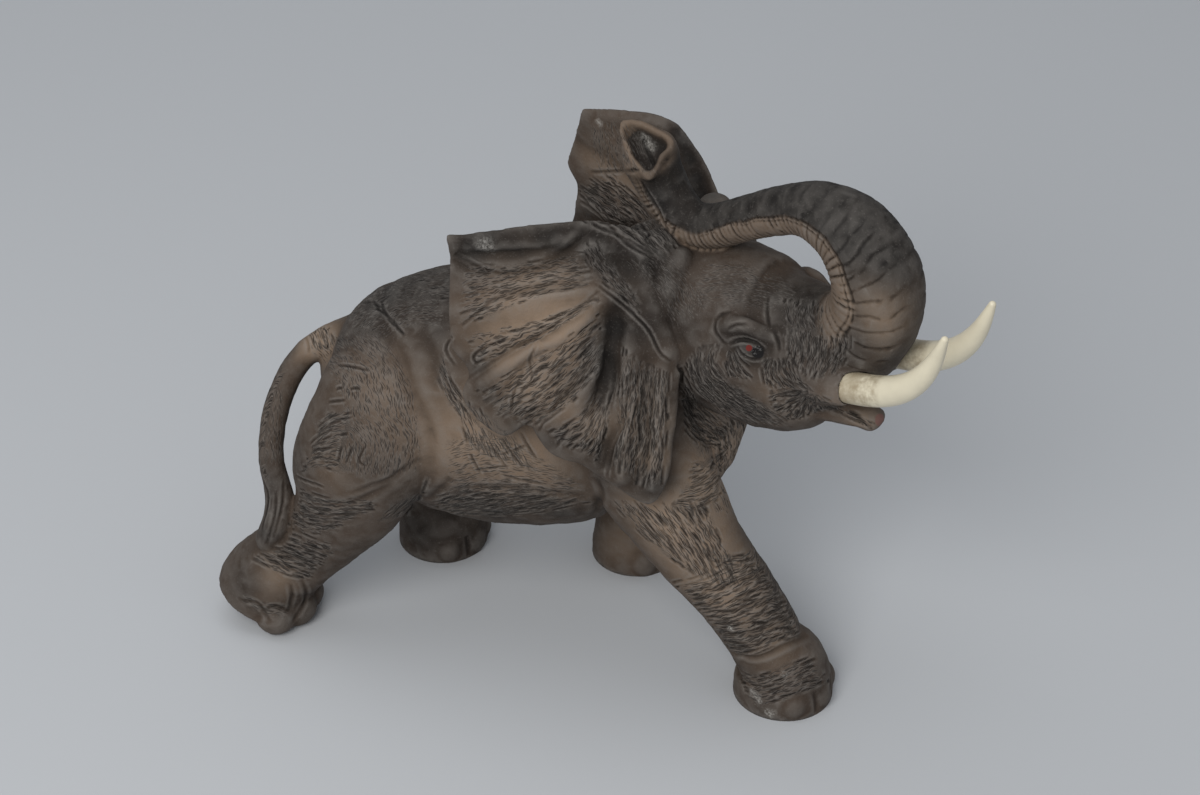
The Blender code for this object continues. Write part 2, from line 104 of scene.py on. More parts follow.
# The photograph's camera, about the drawing's own origin
PHOTO_WIDTH = 1200
PHOTO_HEIGHT = 795
CAMERA_AZIMUTH = math.radians(13)
CAMERA_ELEVATION = math.radians(36)
CAMERA_DISTANCE = 0.850
CAMERA_LENS = 81.6
CAMERA_SENSOR = 36.0
CAMERA_TARGET = np.array([9.0, 6.0, 84.0]) * SHARE


# Forms, as in the solid


def head_point(ahead, left, up):
    """Shares ahead of the neck line and to the left of the head's middle, as a point in metres."""
    turn = HEAD_TURN
    x = NECK_X + ahead * math.cos(turn) + left * math.sin(turn)
    y = -ahead * math.sin(turn) + left * math.cos(turn)
    return np.array([x, y, up]) * SHARE


def head_side():
    return np.array([math.sin(HEAD_TURN), math.cos(HEAD_TURN), 0.0])


def smooth_rows(rows, per_span):
    """More rows between the given ones, on Catmull-Rom curves."""
    rows = np.asarray(rows, float)
    padded = np.vstack([2 * rows[0] - rows[1], rows, 2 * rows[-1] - rows[-2]])
    made = []
    for before, start, end, after in zip(padded, padded[1:], padded[2:], padded[3:]):
        for t in np.arange(per_span) / per_span:
            straight = 2 * start + (end - before) * t
            square = (2 * before - 5 * start + 4 * end - after) * t**2
            cube = (3 * start - before - 3 * end + after) * t**3
            made.append(0.5 * (straight + square + cube))
    made.append(rows[-1])
    return np.array(made)


def unit(rows):
    return rows / np.maximum(np.linalg.norm(rows, axis=-1, keepdims=True), 1e-12)


def bridge(mesh, rings):
    """Closed skin over rings of equal size, with a flat fan at each end."""
    verts = [[mesh.verts.new(point) for point in ring] for ring in rings]
    count = len(verts[0])
    for lower, upper in zip(verts, verts[1:]):
        for i in range(count):
            j = (i + 1) % count
            mesh.faces.new((lower[i], lower[j], upper[j], upper[i]))
    mesh.faces.new(list(reversed(verts[0])))
    mesh.faces.new(verts[-1])


def tube_rings(centres, widths, depths, side, sides, per_span, blunt):
    """Rings of a tube, round at its ends, or flat at the last one where it is blunt."""
    rows = smooth_rows(np.column_stack([centres, widths, depths]), per_span)
    middle = rows[:, :3]
    ahead = unit(np.gradient(middle, axis=0))
    across = unit(side - (ahead @ side)[:, None] * ahead)
    third = np.cross(ahead, across)
    around = np.arange(sides) * 2 * math.pi / sides

    def ring(i, push, scale):
        reach = min(rows[i, 3], rows[i, 4])
        centre = middle[i] + ahead[i] * push * reach
        wide = np.outer(np.cos(around), across[i]) * rows[i, 3] * scale
        deep = np.outer(np.sin(around), third[i]) * rows[i, 4] * scale
        return centre + wide + deep

    rings = []
    steps = [math.pi / 2 * k / CAP_STEPS for k in range(1, CAP_STEPS)]
    for angle in reversed(steps):
        rings.append(ring(0, -math.sin(angle), math.cos(angle)))
    for i in range(len(rows)):
        rings.append(ring(i, 0.0, 1.0))
    if not blunt:
        for angle in steps:
            rings.append(ring(-1, math.sin(angle), math.cos(angle)))
    return rings


def tube(mesh, centres, widths, depths, side, blunt=False):
    bridge(mesh, tube_rings(centres, widths, depths, side, RING_SIDES, SPAN_STEPS, blunt))


def limb(mesh, stations, blunt=False):
    """Tube through stations of (x, y, z, half-width, half-depth), in shares."""
    rows = np.array(stations, float) * SHARE
    tube(mesh, rows[:, :3], rows[:, 3], rows[:, 4], np.array([0.0, 1.0, 0.0]), blunt=blunt)


def head_rings(stations, blunt=False):
    """Rings through stations of (ahead, left, up, half-width, half-depth) about the head, in shares."""
    rows = np.array(stations, float)
    centres = np.array([head_point(*row[:3]) for row in rows])
    wide, deep = rows[:, 3:].T * SHARE
    return tube_rings(centres, wide, deep, head_side(), RING_SIDES, SPAN_STEPS, blunt)


def head_limb(mesh, stations):
    bridge(mesh, head_rings(stations))


def ball(mesh, centre, radii, turn=0.0):
    """Ellipsoid at a point in shares, with radii in shares, turned about the upright line."""
    place = Matrix.Translation(Vector(centre) * SHARE) @ Matrix.Rotation(turn, 4, "Z")
    size = Matrix.Diagonal((*(Vector(radii) * SHARE), 1.0))
    bmesh.ops.create_uvsphere(mesh, u_segments=36, v_segments=24, radius=1.0, matrix=place @ size)


def head_ball(mesh, ahead, left, up, radii):
    centre = head_point(ahead, left, up) / SHARE
    ball(mesh, centre, radii, -HEAD_TURN)


def add_torso(mesh):
    limb(mesh, [
        (-70, 3, 84, 11, 14), (-66, 3, 84.5, 22, 24), (-58, 3, 84, 29, 33), (-44, 3, 83, 34.5, 39.5),
        (-26, 3, 82.5, 36.5, 42.5), (-8, 3, 83.5, 36.5, 42), (8, 3, 86, 34.5, 39.5),
        (20, 3, 86, 30.5, 37), (32, 3, 83, 24, 32),
    ])
    limb(mesh, [(4, 1, 106, 21, 27), (18, -2, 116, 21, 29), (30, -6, 124, 20, 27)])
    ball(mesh, (-54, 0, 90), (21, 33, 25))


def add_hind_legs(mesh):
    foot = FOOT_RADIUS / SHARE
    limb(mesh, [
        (-52, -16, 91, 18, 22), (-55.5, -20.5, 79, 18, 23), (-62, -22, 66, 16, 21.5),
        (-66.5, -22.5, 52, 13.6, 17.5), (-73, -22, 39.5, 11.8, 13.4), (-80, -22, 30, 11, 11.6),
        (-87, -21.5, 22, 12, 12),
    ])
    limb(mesh, [
        (-48, 18, 90, 18, 25), (-49, 23, 72, 17, 23), (-51, 27, 52, 14, 17), (-51, 28, 36, 12, 13.5),
        (-51, 28.5, 24, 12, 13), (-51, 28.5, 12, foot * 0.93, foot * 0.96),
        (-51, 28.5, 3, foot * 0.98, foot), (-51, 28.5, -6, foot * 0.98, foot),
    ])


def add_raised_foot(mesh):
    """The right hind foot, rocked forward onto its toes, with its flat sole showing behind."""
    foot = FOOT_RADIUS / SHARE
    limb(mesh, [
        (-86, -21.5, 27, 11.5, 12), (-91, -21, 20, foot * 0.9, foot * 0.93),
        (-95.5, -21, 13, foot * 0.96, foot * 1.03), (-98.5, -21, 6.8, foot * 0.96, foot * 1.03),
    ], blunt=True)
    for turn in TOE_TURNS:
        angle = math.radians(turn)
        toe_x = -94.5 + 0.62 * foot * math.cos(angle)
        toe_y = -21 + 0.66 * foot * math.sin(angle)
        ball(mesh, (toe_x, toe_y, 0.42 * foot), (0.46 * foot, 0.46 * foot, 0.46 * foot), angle)


def add_fore_legs(mesh):
    foot = FOOT_RADIUS / SHARE
    limb(mesh, [
        (20, -15, 98, 15, 20), (28, -19, 84, 15.5, 20.5), (37.5, -22, 69, 13.8, 18),
        (47, -23, 54, 12.6, 15), (57, -23, 40.5, 12, 13.2), (65.5, -23, 27.5, 11.8, 12.4),
        (70, -23, 18.5, 11.4, 12), (74, -22.5, 12, foot * 0.92, foot * 0.95),
        (75, -22, 4, foot, foot * 1.05), (75, -22, -6, foot, foot * 1.05),
    ])
    limb(mesh, [
        (20, 22, 94, 15, 20), (18, 27, 76, 14, 17), (15, 31, 58, 12, 14), (14, 34.5, 40, 11, 12),
        (14.5, 36, 24, 11, 11.5), (14.5, 36, 12, foot * 0.88, foot * 0.91),
        (14.5, 36, 3, foot * 0.95, foot * 0.98), (14.5, 36, -6, foot * 0.95, foot * 0.98),
    ])


FLAT_FEET = ((75, -22), (14.5, 36), (-51, 28.5))


def add_toes(mesh):
    foot = FOOT_RADIUS / SHARE
    for x, y in FLAT_FEET:
        for turn in TOE_TURNS:
            angle = math.radians(turn)
            toe_x = x + 0.84 * foot * math.cos(angle)
            toe_y = y + 0.8 * foot * math.sin(angle)
            ball(mesh, (toe_x, toe_y, 0.3 * foot), (0.28 * foot, 0.3 * foot, 0.37 * foot), angle)


def add_tail(mesh):
    radius = TAIL_RADIUS / SHARE
    limb(mesh, [
        (-68, 3, 97, radius * 1.9, radius * 2.0), (-77, 3, 94, radius * 1.4, radius * 1.4),
        (-85, 1.5, 89.5, radius * 1.05, radius * 1.05), (-90, -3, 82.5, radius, radius),
        (-92.5, -8, 75, radius, radius), (-93.5, -13, 67, radius, radius),
        (-92.5, -18, 59, radius, radius), (-89, -23, 50, radius * 1.2, radius * 1.1),
        (-89, -25, 43, radius * 1.5, radius * 1.15), (-92.5, -26.5, 34.5, radius * 1.1, radius),
    ])


def add_head(mesh):
    lip = (TUSK_RADIUS + LIP_WALL) / SHARE
    head_limb(mesh, [
        (-8, 0, 127, 18.5, 24), (2, 0, 128, 21, 26.5), (15, 0, 128, 22, 27.5), (28, 0, 128.5, 21, 28),
        (40, 0, 130, 19, 26.5), (50, 0, 134.5, 16.5, 21), (58, 0, 138.5, 14.5, 17),
    ])
    head_limb(mesh, [
        (34, 0, 113, 14, 12), (48, 0, 117, 10.5, 8.3), (57, 0, 118.4, 8.2, 5), (64, 0, 119, 6.6, 3.6),
        (72, 0, 119.2, 4.6, 3),
    ])
    for side in (LEFT, RIGHT):
        head_ball(mesh, 38, side * 16.4, 136.5, (4.6, 3.2, 3.9))
        head_limb(mesh, [
            (27, side * 17.3, 139, 1.5, 2.2), (36, side * 16.4, 144.2, 2.2, 3.0),
            (46, side * 14.0, 142.5, 1.5, 2.2),
        ])
        head_limb(mesh, [
            (52, side * 8, 134, lip * 1.2, lip * 1.25), (62, side * 10, 135, lip * 1.2, lip * 1.2),
            (67, side * 11, 135.6, lip, lip),
        ])
        head_limb(mesh, [
            (2, side * 13, 154, 6, 6), (0, side * 18, 142, 6.5, 7), (1, side * 19.5, 128, 6, 6),
            (5, side * 19.5, 114, 4, 5),
        ])
        head_limb(mesh, [
            (8, side * 11, 151, 5.5, 5), (9, side * 16.5, 144, 5.5, 5), (9, side * 20, 136, 4.5, 4),
        ])


def trunk_stations():
    """Stations of the trunk about the head, from the face to the rim of the nostrils, in shares."""
    base = TRUNK_BASE_RADIUS / SHARE
    waist = TRUNK_WAIST_RADIUS / SHARE
    tip = TRUNK_TIP_RADIUS / SHARE
    return [
        (58, 0, 138, base * 1.05, base * 1.2),
        (66, 0, 147, base * 1.02, base * 1.06),
        (71, 0, 158, base, base),
        (69.5, 0, 169, base * 0.96, base * 0.96),
        (61.5, 0, 177.5, base * 0.86, base * 0.86),
        (51, 0, 180, base * 0.69, base * 0.69),
        (40.5, 0, 177.4, waist * 1.12, waist * 1.12),
        (26, -1, 169.3, waist, waist),
        (14.5, -2, 162, waist, waist),
        (5.5, -2.5, 160, waist * 1.03, waist * 1.03),
        (-1.5, -3, 164.5, waist * 1.08, waist * 1.08),
        (-6.5, -3.6, 171.5, tip * 0.86, tip * 0.84),
        (-8.6, -5, 178.3, tip * 0.98, tip * 0.94),
        (-7.3, -8, 182.7, tip, tip),
    ]


def add_trunk(mesh):
    """The trunk, opening out at its end into a soft three-cornered rim round a shallow hollow."""
    rings = head_rings(trunk_stations(), blunt=True)
    turns, reaches = smooth_rows(TRUNK_RIM, 8).T
    around = np.linspace(0, 360, RING_SIDES, endpoint=False)
    rim = np.interp(around, turns, reaches)[:, None]
    for step in range(1, RIM_SPREAD + 1):
        part = 1 - (step - 1) / RIM_SPREAD
        ring = rings[-step]
        centre = ring.mean(0)
        rings[-step] = centre + (ring - centre) * (1 + (rim - 1) * part)
    end = rings[-1]
    centre = end.mean(0)
    inward = unit(rings[-2].mean(0) - centre)
    for size, depth in HOLLOW:
        rings.append(centre + (end - centre) * size + inward * depth * NOSTRIL_DEPTH)
    bridge(mesh, rings)


def height_through(points):
    """Smooth height over a plane, as a function of (a, b), through points of (a, b, height)."""
    points = np.array(points, float)
    count = len(points)

    def bend(distance):
        return distance**2 * np.log(distance + 1e-6)

    def spread(a, b):
        return np.hypot(a[..., None] - points[:, 0], b[..., None] - points[:, 1])

    flat = np.column_stack([np.ones(count), points[:, :2]])
    system = np.zeros((count + 3, count + 3))
    system[:count, :count] = bend(spread(points[:, 0], points[:, 1]))
    system[:count, count:] = flat
    system[count:, :count] = flat.T
    weights = np.linalg.solve(system, np.concatenate([points[:, 2], np.zeros(3)]))

    def height(a, b):
        tilt = weights[count] + weights[count + 1] * a + weights[count + 2] * b
        return bend(spread(a, b)) @ weights[:count] + tilt

    return height


def away_from_line(a, b, line):
    """Distance in a plane from each point (a, b) to a line of straight runs."""
    nearest = np.full(np.shape(a), np.inf)
    for (a0, b0), (a1, b1) in zip(line, line[1:]):
        run = np.array([a1 - a0, b1 - b0])
        t = np.clip(((a - a0) * run[0] + (b - b0) * run[1]) / (run @ run), 0.0, 1.0)
        nearest = np.minimum(nearest, np.hypot(a - a0 - t * run[0], b - b0 - t * run[1]))
    return nearest


def folds(a, b, lines):
    """Height of folds and valleys, each a (line, half-width, height)."""
    total = np.zeros(np.shape(a))
    for line, width, height in lines:
        total += height * np.exp(-((away_from_line(a, b, line) / width) ** 2))
    return total


def add_ear(mesh, outline, heart, seat, relief, side, fill):
    """Folded sheet over the X-Z plane. The outline is (x, z) about a heart point, seat gives the distance
    from the middle plane, and fill (low, high, reach) thickens the sheet inwards below a height."""
    rim = smooth_rows(outline + outline[:1], EAR_RIM_STEPS)[:-1]
    around = len(rim)
    share = np.sin(np.linspace(0.0, math.pi / 2, EAR_RINGS + 1))[:, None]
    x = heart[0] + (rim[:, 0] - heart[0]) * share
    z = heart[1] + (rim[:, 1] - heart[1]) * share
    out = seat(x, z) + folds(x, z, relief)
    half = EAR_THICKNESS / SHARE / 2 * np.sqrt(np.clip(1.05 - share**6, 0.0, 1.0))
    low, high, reach = fill
    sunk = np.clip((high - z) / (high - low), 0.0, 1.0)
    inner = out - half - reach * sunk * sunk * (3 - 2 * sunk) * (1 - share**10)
    outer = out + half

    faces = []
    sheets = []
    for depth in (outer, inner):
        points = np.stack([x, side * depth, z], axis=-1) * SHARE
        centre = mesh.verts.new(points[0, 0])
        grid = [[mesh.verts.new(point) for point in ring] for ring in points[1:]]
        sheets.append(grid)
        for i in range(around):
            j = (i + 1) % around
            faces.append([centre, grid[0][i], grid[0][j]])
            for near, far in zip(grid, grid[1:]):
                faces.append([near[i], far[i], far[j], near[j]])
    for i in range(around):
        j = (i + 1) % around
        faces.append([sheets[0][-1][i], sheets[1][-1][i], sheets[1][-1][j], sheets[0][-1][j]])
    made = [mesh.faces.new(face) for face in faces]
    bmesh.ops.recalc_face_normals(mesh, faces=made)


def add_right_ear(mesh):
    """Flat along the neck and shoulder, with a rolled upper rim and three lobes below."""
    outline = [
        (28, 161), (13, 166), (-6, 165.5), (-23, 163.5), (-27, 163.5), (-26.5, 159), (-26, 150),
        (-26, 138), (-25, 128), (-20, 121), (-22, 113), (-17, 105), (-9, 101), (-2, 105), (5, 97),
        (15, 94), (25, 88), (35, 82.5), (40, 91), (41, 105), (41.5, 118), (40.5, 130), (35, 141),
        (31, 151),
    ]
    seat = height_through([
        (27, 160, 16), (12, 165, 21), (-6, 165, 27), (-26, 163, 33), (-27, 140, 37), (-22, 115, 40),
        (-2, 104, 41), (15, 94, 42), (36, 84, 41), (41, 105, 37), (41, 126, 29), (33, 145, 22),
        (8, 130, 35), (20, 115, 38), (24, 140, 27),
    ])
    relief = [
        ([(24, 152), (5, 157), (-22, 157)], 3.0, -2.2), ([(20, 146), (0, 132), (-16, 120)], 3.0, 1.8),
        ([(14, 149), (-6, 143), (-24, 141)], 3.5, 1.2), ([(20, 140), (10, 122), (0, 108)], 3.0, -2.0),
        ([(22, 138), (22, 120), (21, 98)], 3.2, -3.0), ([(27, 132), (28, 112), (27, 92)], 2.4, 1.8),
        ([(32, 128), (32, 108), (31, 90)], 2.2, -1.6), ([(37, 130), (37, 108), (36, 90)], 2.4, 1.2),
        ([(27, 156), (33, 143), (39, 132)], 3.0, 1.6),
    ]
    add_ear(mesh, outline, (8, 128), seat, relief, RIGHT, (112, 130, 12))


def add_left_ear(mesh):
    """Spread out behind the raised trunk, its front rim curled over."""
    outline = [
        (50, 142), (41, 154), (32, 164), (22, 170.5), (9, 169.5), (-2, 166.5), (-5, 165), (-6, 161),
        (-9, 150), (-11, 142), (-7.5, 135.5), (-8.5, 126), (-10, 114), (-4, 104), (5, 99), (15, 94),
        (25, 87), (34, 84), (39, 92), (44, 106), (49, 120), (51, 132),
    ]
    seat = height_through([
        (49, 143, 15), (36, 160, 27), (24, 171, 34), (8, 171, 38), (-4, 166, 42), (-10, 142, 47),
        (-9, 116, 46), (8, 98, 43), (34, 84, 41), (43, 106, 30), (49, 124, 17), (12, 134, 36),
        (24, 150, 28), (28, 115, 36),
    ])
    relief = [
        ([(24, 146), (8, 150), (-6, 152)], 3.0, 1.4), ([(26, 140), (8, 132), (-8, 130)], 3.2, -1.6),
        ([(26, 134), (16, 114), (8, 102)], 3.2, 1.6), ([(32, 130), (31, 112), (30, 92)], 2.6, -1.6),
        ([(42, 144), (36, 158), (26, 167)], 3.0, 2.4),
    ]
    add_ear(mesh, outline, (16, 132), seat, relief, LEFT, (108, 126, 12))


# Tusks


def tusk_line(side, inset, length, count):
    """Centre line from inset inside the lip to length beyond it, and the share of the way along."""
    travelled = np.linspace(-inset, length, count)
    share = np.clip(travelled / TUSK_LENGTH, 0.0, 1.0)
    angle = TUSK_START_ANGLE + (TUSK_END_ANGLE - TUSK_START_ANGLE) * share * share * (3 - 2 * share)
    step = (length + inset) / (count - 1)
    forward = np.array([math.cos(HEAD_TURN), -math.sin(HEAD_TURN), 0.0])
    ways = np.outer(np.cos(angle), forward) + np.outer(np.sin(angle), (0.0, 0.0, 1.0))
    middle = 0.5 * (ways[1:] + ways[:-1]) * step
    run = np.vstack([np.zeros(3), np.cumsum(middle, axis=0)])
    lip = np.array([np.interp(0.0, travelled, run[:, axis]) for axis in range(3)])
    root = head_point(TUSK_ROOT[0], side * TUSK_ROOT[1], TUSK_ROOT[2])
    return root + run - lip, share


def tusk_rings(side, inset, length, extra, rings, sides, tip=TUSK_TIP_RADIUS):
    line, share = tusk_line(side, inset, length, rings)
    radii = TUSK_RADIUS - (TUSK_RADIUS - tip) * share**2.2 + extra
    return tube_rings(line, radii, radii, head_side(), sides, 1, False)


def mesh_of(name, fill):
    """A mesh that fill has drawn into, with its faces pointing out."""
    made = bmesh.new()
    fill(made)
    bmesh.ops.recalc_face_normals(made, faces=made.faces)
    mesh = bpy.data.meshes.new(name)
    made.to_mesh(mesh)
    made.free()
    return mesh


def new_object(name, mesh):
    thing = bpy.data.objects.new(name, mesh)
    bpy.context.scene.collection.objects.link(thing)
    return thing


def evaluated(thing):
    """A new mesh of the object as its modifiers leave it. The object goes."""
    graph = bpy.context.evaluated_depsgraph_get()
    mesh = bpy.data.meshes.new_from_object(thing.evaluated_get(graph))
    bpy.data.objects.remove(thing, do_unlink=True)
    return mesh


# The drawing's origin in the model's frame: the solid is moved so that its box stands over the origin


def drawing_shift():
    """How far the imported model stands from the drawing, read off the right tusk's box."""
    low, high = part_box("tusk_right")
    rings = np.vstack(tusk_rings(RIGHT, SOCKET_DEPTH, TUSK_LENGTH, 0.0, 10, 12, 0.00075))
    seen = (np.array(low) + np.array(high)) / 2
    drawn = (rings.min(0) + rings.max(0)) / 2
    return np.array([seen[0] - drawn[0], seen[1] - drawn[1], 0.0])


SHIFT = drawing_shift()


# Casting the photograph's pixels, and plain side views, onto the form


def camera_axes():
    a = CAMERA_AZIMUTH
    e = CAMERA_ELEVATION
    right = np.array([math.cos(a), math.sin(a), 0.0])
    back = np.array([math.sin(a) * math.cos(e), -math.cos(a) * math.cos(e), math.sin(e)])
    return right, np.cross(back, right), back


def photo_ray(x, y):
    """Through a pixel of the photograph."""
    right, up, back = camera_axes()
    focal = CAMERA_LENS / CAMERA_SENSOR * PHOTO_WIDTH
    way = right * (x - PHOTO_WIDTH / 2) + up * (PHOTO_HEIGHT / 2 - y) - back * focal
    return CAMERA_TARGET + back * CAMERA_DISTANCE, unit(way)


def left_ray(x, z):
    """Square onto the left side, through shares."""
    return np.array([x, 200.0, z]) * SHARE, np.array([0.0, -1.0, 0.0])


def front_ray(y, z):
    """Square onto the front, through shares."""
    return np.array([300.0, y, z]) * SHARE, np.array([-1.0, 0.0, 0.0])


def rear_ray(y, z):
    return np.array([-300.0, y, z]) * SHARE, np.array([1.0, 0.0, 0.0])


def top_ray(x, y):
    """Straight down, through shares."""
    return np.array([x, y, 300.0]) * SHARE, np.array([0.0, 0.0, -1.0])


def photo_spot(points):
    """The photograph's pixels that points are seen at."""
    right, up, back = camera_axes()
    gap = points - CAMERA_TARGET - back * CAMERA_DISTANCE
    scale = CAMERA_LENS / CAMERA_SENSOR * PHOTO_WIDTH / -(gap @ back)
    return np.column_stack([PHOTO_WIDTH / 2 + gap @ right * scale, PHOTO_HEIGHT / 2 - gap @ up * scale])


def plane_spot(*axes):
    return lambda points: points[:, axes] / SHARE


# For each way of casting: how points are seen back, and how long one step is on the form, in metres
SEEN = {
    photo_ray: (photo_spot, SHARE / 3.2),
    left_ray: (plane_spot(0, 2), SHARE),
    front_ray: (plane_spot(1, 2), SHARE),
    rear_ray: (plane_spot(1, 2), SHARE),
    top_ray: (plane_spot(0, 1), SHARE),
}


def resample(path, count):
    path = smooth_rows(path, 8) if len(path) > 2 else np.array(path, float)
    steps = np.concatenate([[0.0], np.cumsum(np.linalg.norm(np.diff(path, axis=0), axis=1))])
    at = np.linspace(0.0, steps[-1], count)
    return np.column_stack([np.interp(at, steps, path[:, axis]) for axis in range(path.shape[1])])


def laid_over(grid, step, number, spots):
    """For each spot on a grid of guide lines: metres along them and across them, and the share of the way
    along and across, each 0 off the grid. Number sets patches apart."""
    runs = np.linalg.norm(np.diff(grid, axis=1), axis=2).mean(0)
    gaps = np.linalg.norm(np.diff(grid, axis=0), axis=2).mean(1)
    along = (np.concatenate([[0.0], np.cumsum(runs)]) - runs.sum() / 2) * step + 0.05 * number
    across = np.concatenate([[0.0], np.cumsum(gaps)]) * step + 0.03 * number
    lines, columns = grid.shape[:2]
    s = np.linspace(0.0, 1.0, columns)
    t = np.linspace(0.0, 1.0, lines)
    found = np.zeros((len(spots), 4))
    for g in range(lines - 1):
        for i in range(columns - 1):
            quad = ((g, i), (g, i + 1), (g + 1, i + 1), (g + 1, i))
            for corners in (quad[:3], (quad[0], quad[2], quad[3])):
                a, b, c = (grid[corner] for corner in corners)
                sides = np.array([b - a, c - a]).T
                if abs(np.linalg.det(sides)) < 1e-9:
                    continue
                u, v = np.linalg.solve(sides, (spots - a).T)
                inside = (u >= 0) & (v >= 0) & (u + v <= 1)
                shares = np.column_stack([1 - u - v, u, v])[inside]
                found[inside] = shares @ np.array([(along[j], across[k], s[j], t[k]) for k, j in corners])
    return found.T


# Breaks in what a line is cast on that are longer than these, in metres, end the line
CREASE_JUMP = 0.006
STROKE_JUMP = 0.005
STROKE_BURR = 0.25

# The drawn grain: columns of its grid, the least strength kept, and how near a cast point has to be
GRAIN_COLUMNS = 16
FAINTEST_GRAIN = 0.02
SAME_PLACE = 0.0025


class Carving:
    """Grooves and ridges on the form, each a line in space with a width and a depth, in metres."""

    def __init__(self, tree):
        self.tree = tree
        self.lines = []
        self.patches = []

    def cast(self, ray, path):
        """The path on the form, as points and normals. What misses the form, or jumps, ends it."""
        points = []
        normals = []
        for spot in path:
            origin, way = ray(*spot)
            point, normal, _, _ = self.tree.ray_cast(Vector(origin), Vector(way))
            if point is None:
                continue
            points.append(point)
            normals.append(normal)
        return np.array(points), np.array(normals)

    def crease(self, ray, path, width, depth, burr=0.0, wash_and_shade=1.0):
        """One given line, with its width and depth in shares."""
        drawn = resample(path, 60)
        points, normals = self.cast(ray, drawn)
        if len(points) < 2:
            return
        cuts = np.nonzero(np.linalg.norm(np.diff(points, axis=0), axis=1) > CREASE_JUMP)[0] + 1
        for piece in np.split(np.arange(len(points)), cuts):
            if len(piece) > 2:
                self.lines.append((points[piece], normals[piece], width * SHARE, depth * SHARE, burr, wash_and_shade))

    def hatch(self, ray, guides, rows, seed, length, width, depth, gap=0.5):
        """Short strokes that run with the guide lines around them. Length is (least, most). Length, width and
        depth are in shares. Gap is the share of a row that stays bare."""
        random = np.random.default_rng(seed)
        self.patches.append((ray, guides, 1.0 - gap))
        guides = [resample(guide, 40) for guide in guides]
        rows = max(1, int(rows * HATCH_SHARE))
        for row in range(rows):
            place = (row + random.uniform(0.1, 0.9)) / rows * (len(guides) - 1)
            k = min(int(place), len(guides) - 2)
            path = guides[k] + (guides[k + 1] - guides[k]) * (place - k)
            points, normals = self.cast(ray, path)
            if len(points) < 4:
                continue
            steps = np.linalg.norm(np.diff(points, axis=0), axis=1)
            at = np.concatenate([[0.0], np.cumsum(steps)]) / SHARE
            start = -random.uniform(0.0, length[1])
            while start < at[-1]:
                end = start + random.uniform(*length)
                inside = np.linspace(max(start, 0.0), min(end, at[-1]), 8)
                size = random.uniform(0.6, 1.25)
                if inside[-1] - inside[0] > 0.4 * length[0]:
                    held = np.searchsorted(at, inside)
                    jumpy = steps[np.clip(held - 1, 0, len(steps) - 1)].max() > STROKE_JUMP
                    if not jumpy:
                        line = np.column_stack([np.interp(inside, at, points[:, n]) for n in range(3)])
                        facing = np.column_stack([np.interp(inside, at, normals[:, n]) for n in range(3)])
                        wide = width * SHARE * size
                        deep = depth * SHARE * size
                        self.lines.append((line, unit(facing), wide, deep, STROKE_BURR, 1.0))
                start = end + random.uniform(*length) * gap / (1.0 - gap)

    def grain(self, points, normals, layer):
        """(along, across, strength) of the fine strokes at each point, from every second patch of hatching.
        The skin's material draws them."""
        made = np.zeros((len(points), 3))
        for number, (ray, guides, strength) in enumerate(self.patches):
            if number % 2 != layer:
                continue
            spot_of, step = SEEN[ray]
            spots = spot_of(points)
            grid = np.array([resample(guide, GRAIN_COLUMNS) for guide in guides])
            near = np.nonzero(((spots > grid.min((0, 1))) & (spots < grid.max((0, 1)))).all(1))[0]
            run, rise, far, wide = laid_over(grid, step, number, spots[near])
            fade = smooth_step(0.0, 0.12, far) * smooth_step(1.0, 0.88, far)
            fade *= smooth_step(0.0, 0.10, wide) * smooth_step(1.0, 0.90, wide)
            found = np.column_stack([run, rise, fade * (0.55 + 0.45 * strength)])
            for row in np.nonzero(found[:, 2] > FAINTEST_GRAIN)[0]:
                n = near[row]
                if found[row, 2] <= made[n, 2]:
                    continue
                origin, way = ray(*spots[n])
                if normals[n] @ way > -0.12:
                    continue
                point, _, _, _ = self.tree.ray_cast(Vector(origin), Vector(way))
                if point is not None and np.linalg.norm(np.array(point) - points[n]) < SAME_PLACE:
                    made[n] = found[row]
        return made

    def at(self, points, normals):
        """How far each point sinks along its normal, and how much dark wash with painted shade, and pale
        edge, it gets.
        """
        order = np.argsort(points[:, 0])
        along = points[order, 0]
        sink = np.zeros(len(points))
        wash_and_shade = np.zeros(len(points))
        edge = np.zeros(len(points))
        for line, facing, width, depth, burr, washed_and_shaded in self.lines:
            reach = 3.0 * width
            low = line.min(0) - reach
            high = line.max(0) + reach
            first, last = np.searchsorted(along, (low[0], high[0]))
            near = order[first:last]
            place = points[near]
            inside = ((place[:, 1:] > low[1:]) & (place[:, 1:] < high[1:])).all(1)
            near = near[inside]
            if not len(near):
                continue
            place = place[inside]
            start = line[:-1]
            run = line[1:] - start
            t = np.einsum("nsk,sk->ns", place[:, None] - start, run) / np.maximum((run * run).sum(1), 1e-14)
            t = np.clip(t, 0.0, 1.0)
            gap = place[:, None] - start - t[..., None] * run
            apart = np.sqrt((gap * gap).sum(2))
            best = apart.argmin(1)
            rows = np.arange(len(near))
            distance = apart[rows, best]
            share = (best + t[rows, best]) / len(run)
            kept = (distance < reach) & ((normals[near] * facing[best]).sum(1) > 0.25)
            near, distance, share = near[kept], distance[kept], share[kept]
            fade = np.sqrt(np.clip(np.sin(math.pi * share), 0.0, 1.0))
            groove = np.exp(-((distance / width) ** 2)) * fade
            lip = np.exp(-(((distance - 1.9 * width) / (0.7 * width)) ** 2)) * fade
            sink[near] += depth * (groove - burr * lip)
            if washed_and_shaded > 0.0:
                wash_and_shade[near] = np.maximum(wash_and_shade[near], groove * washed_and_shaded)
                edge[near] = np.maximum(edge[near], lip * washed_and_shaded * (1.0 - groove))
        return sink, wash_and_shade, edge


# The casting


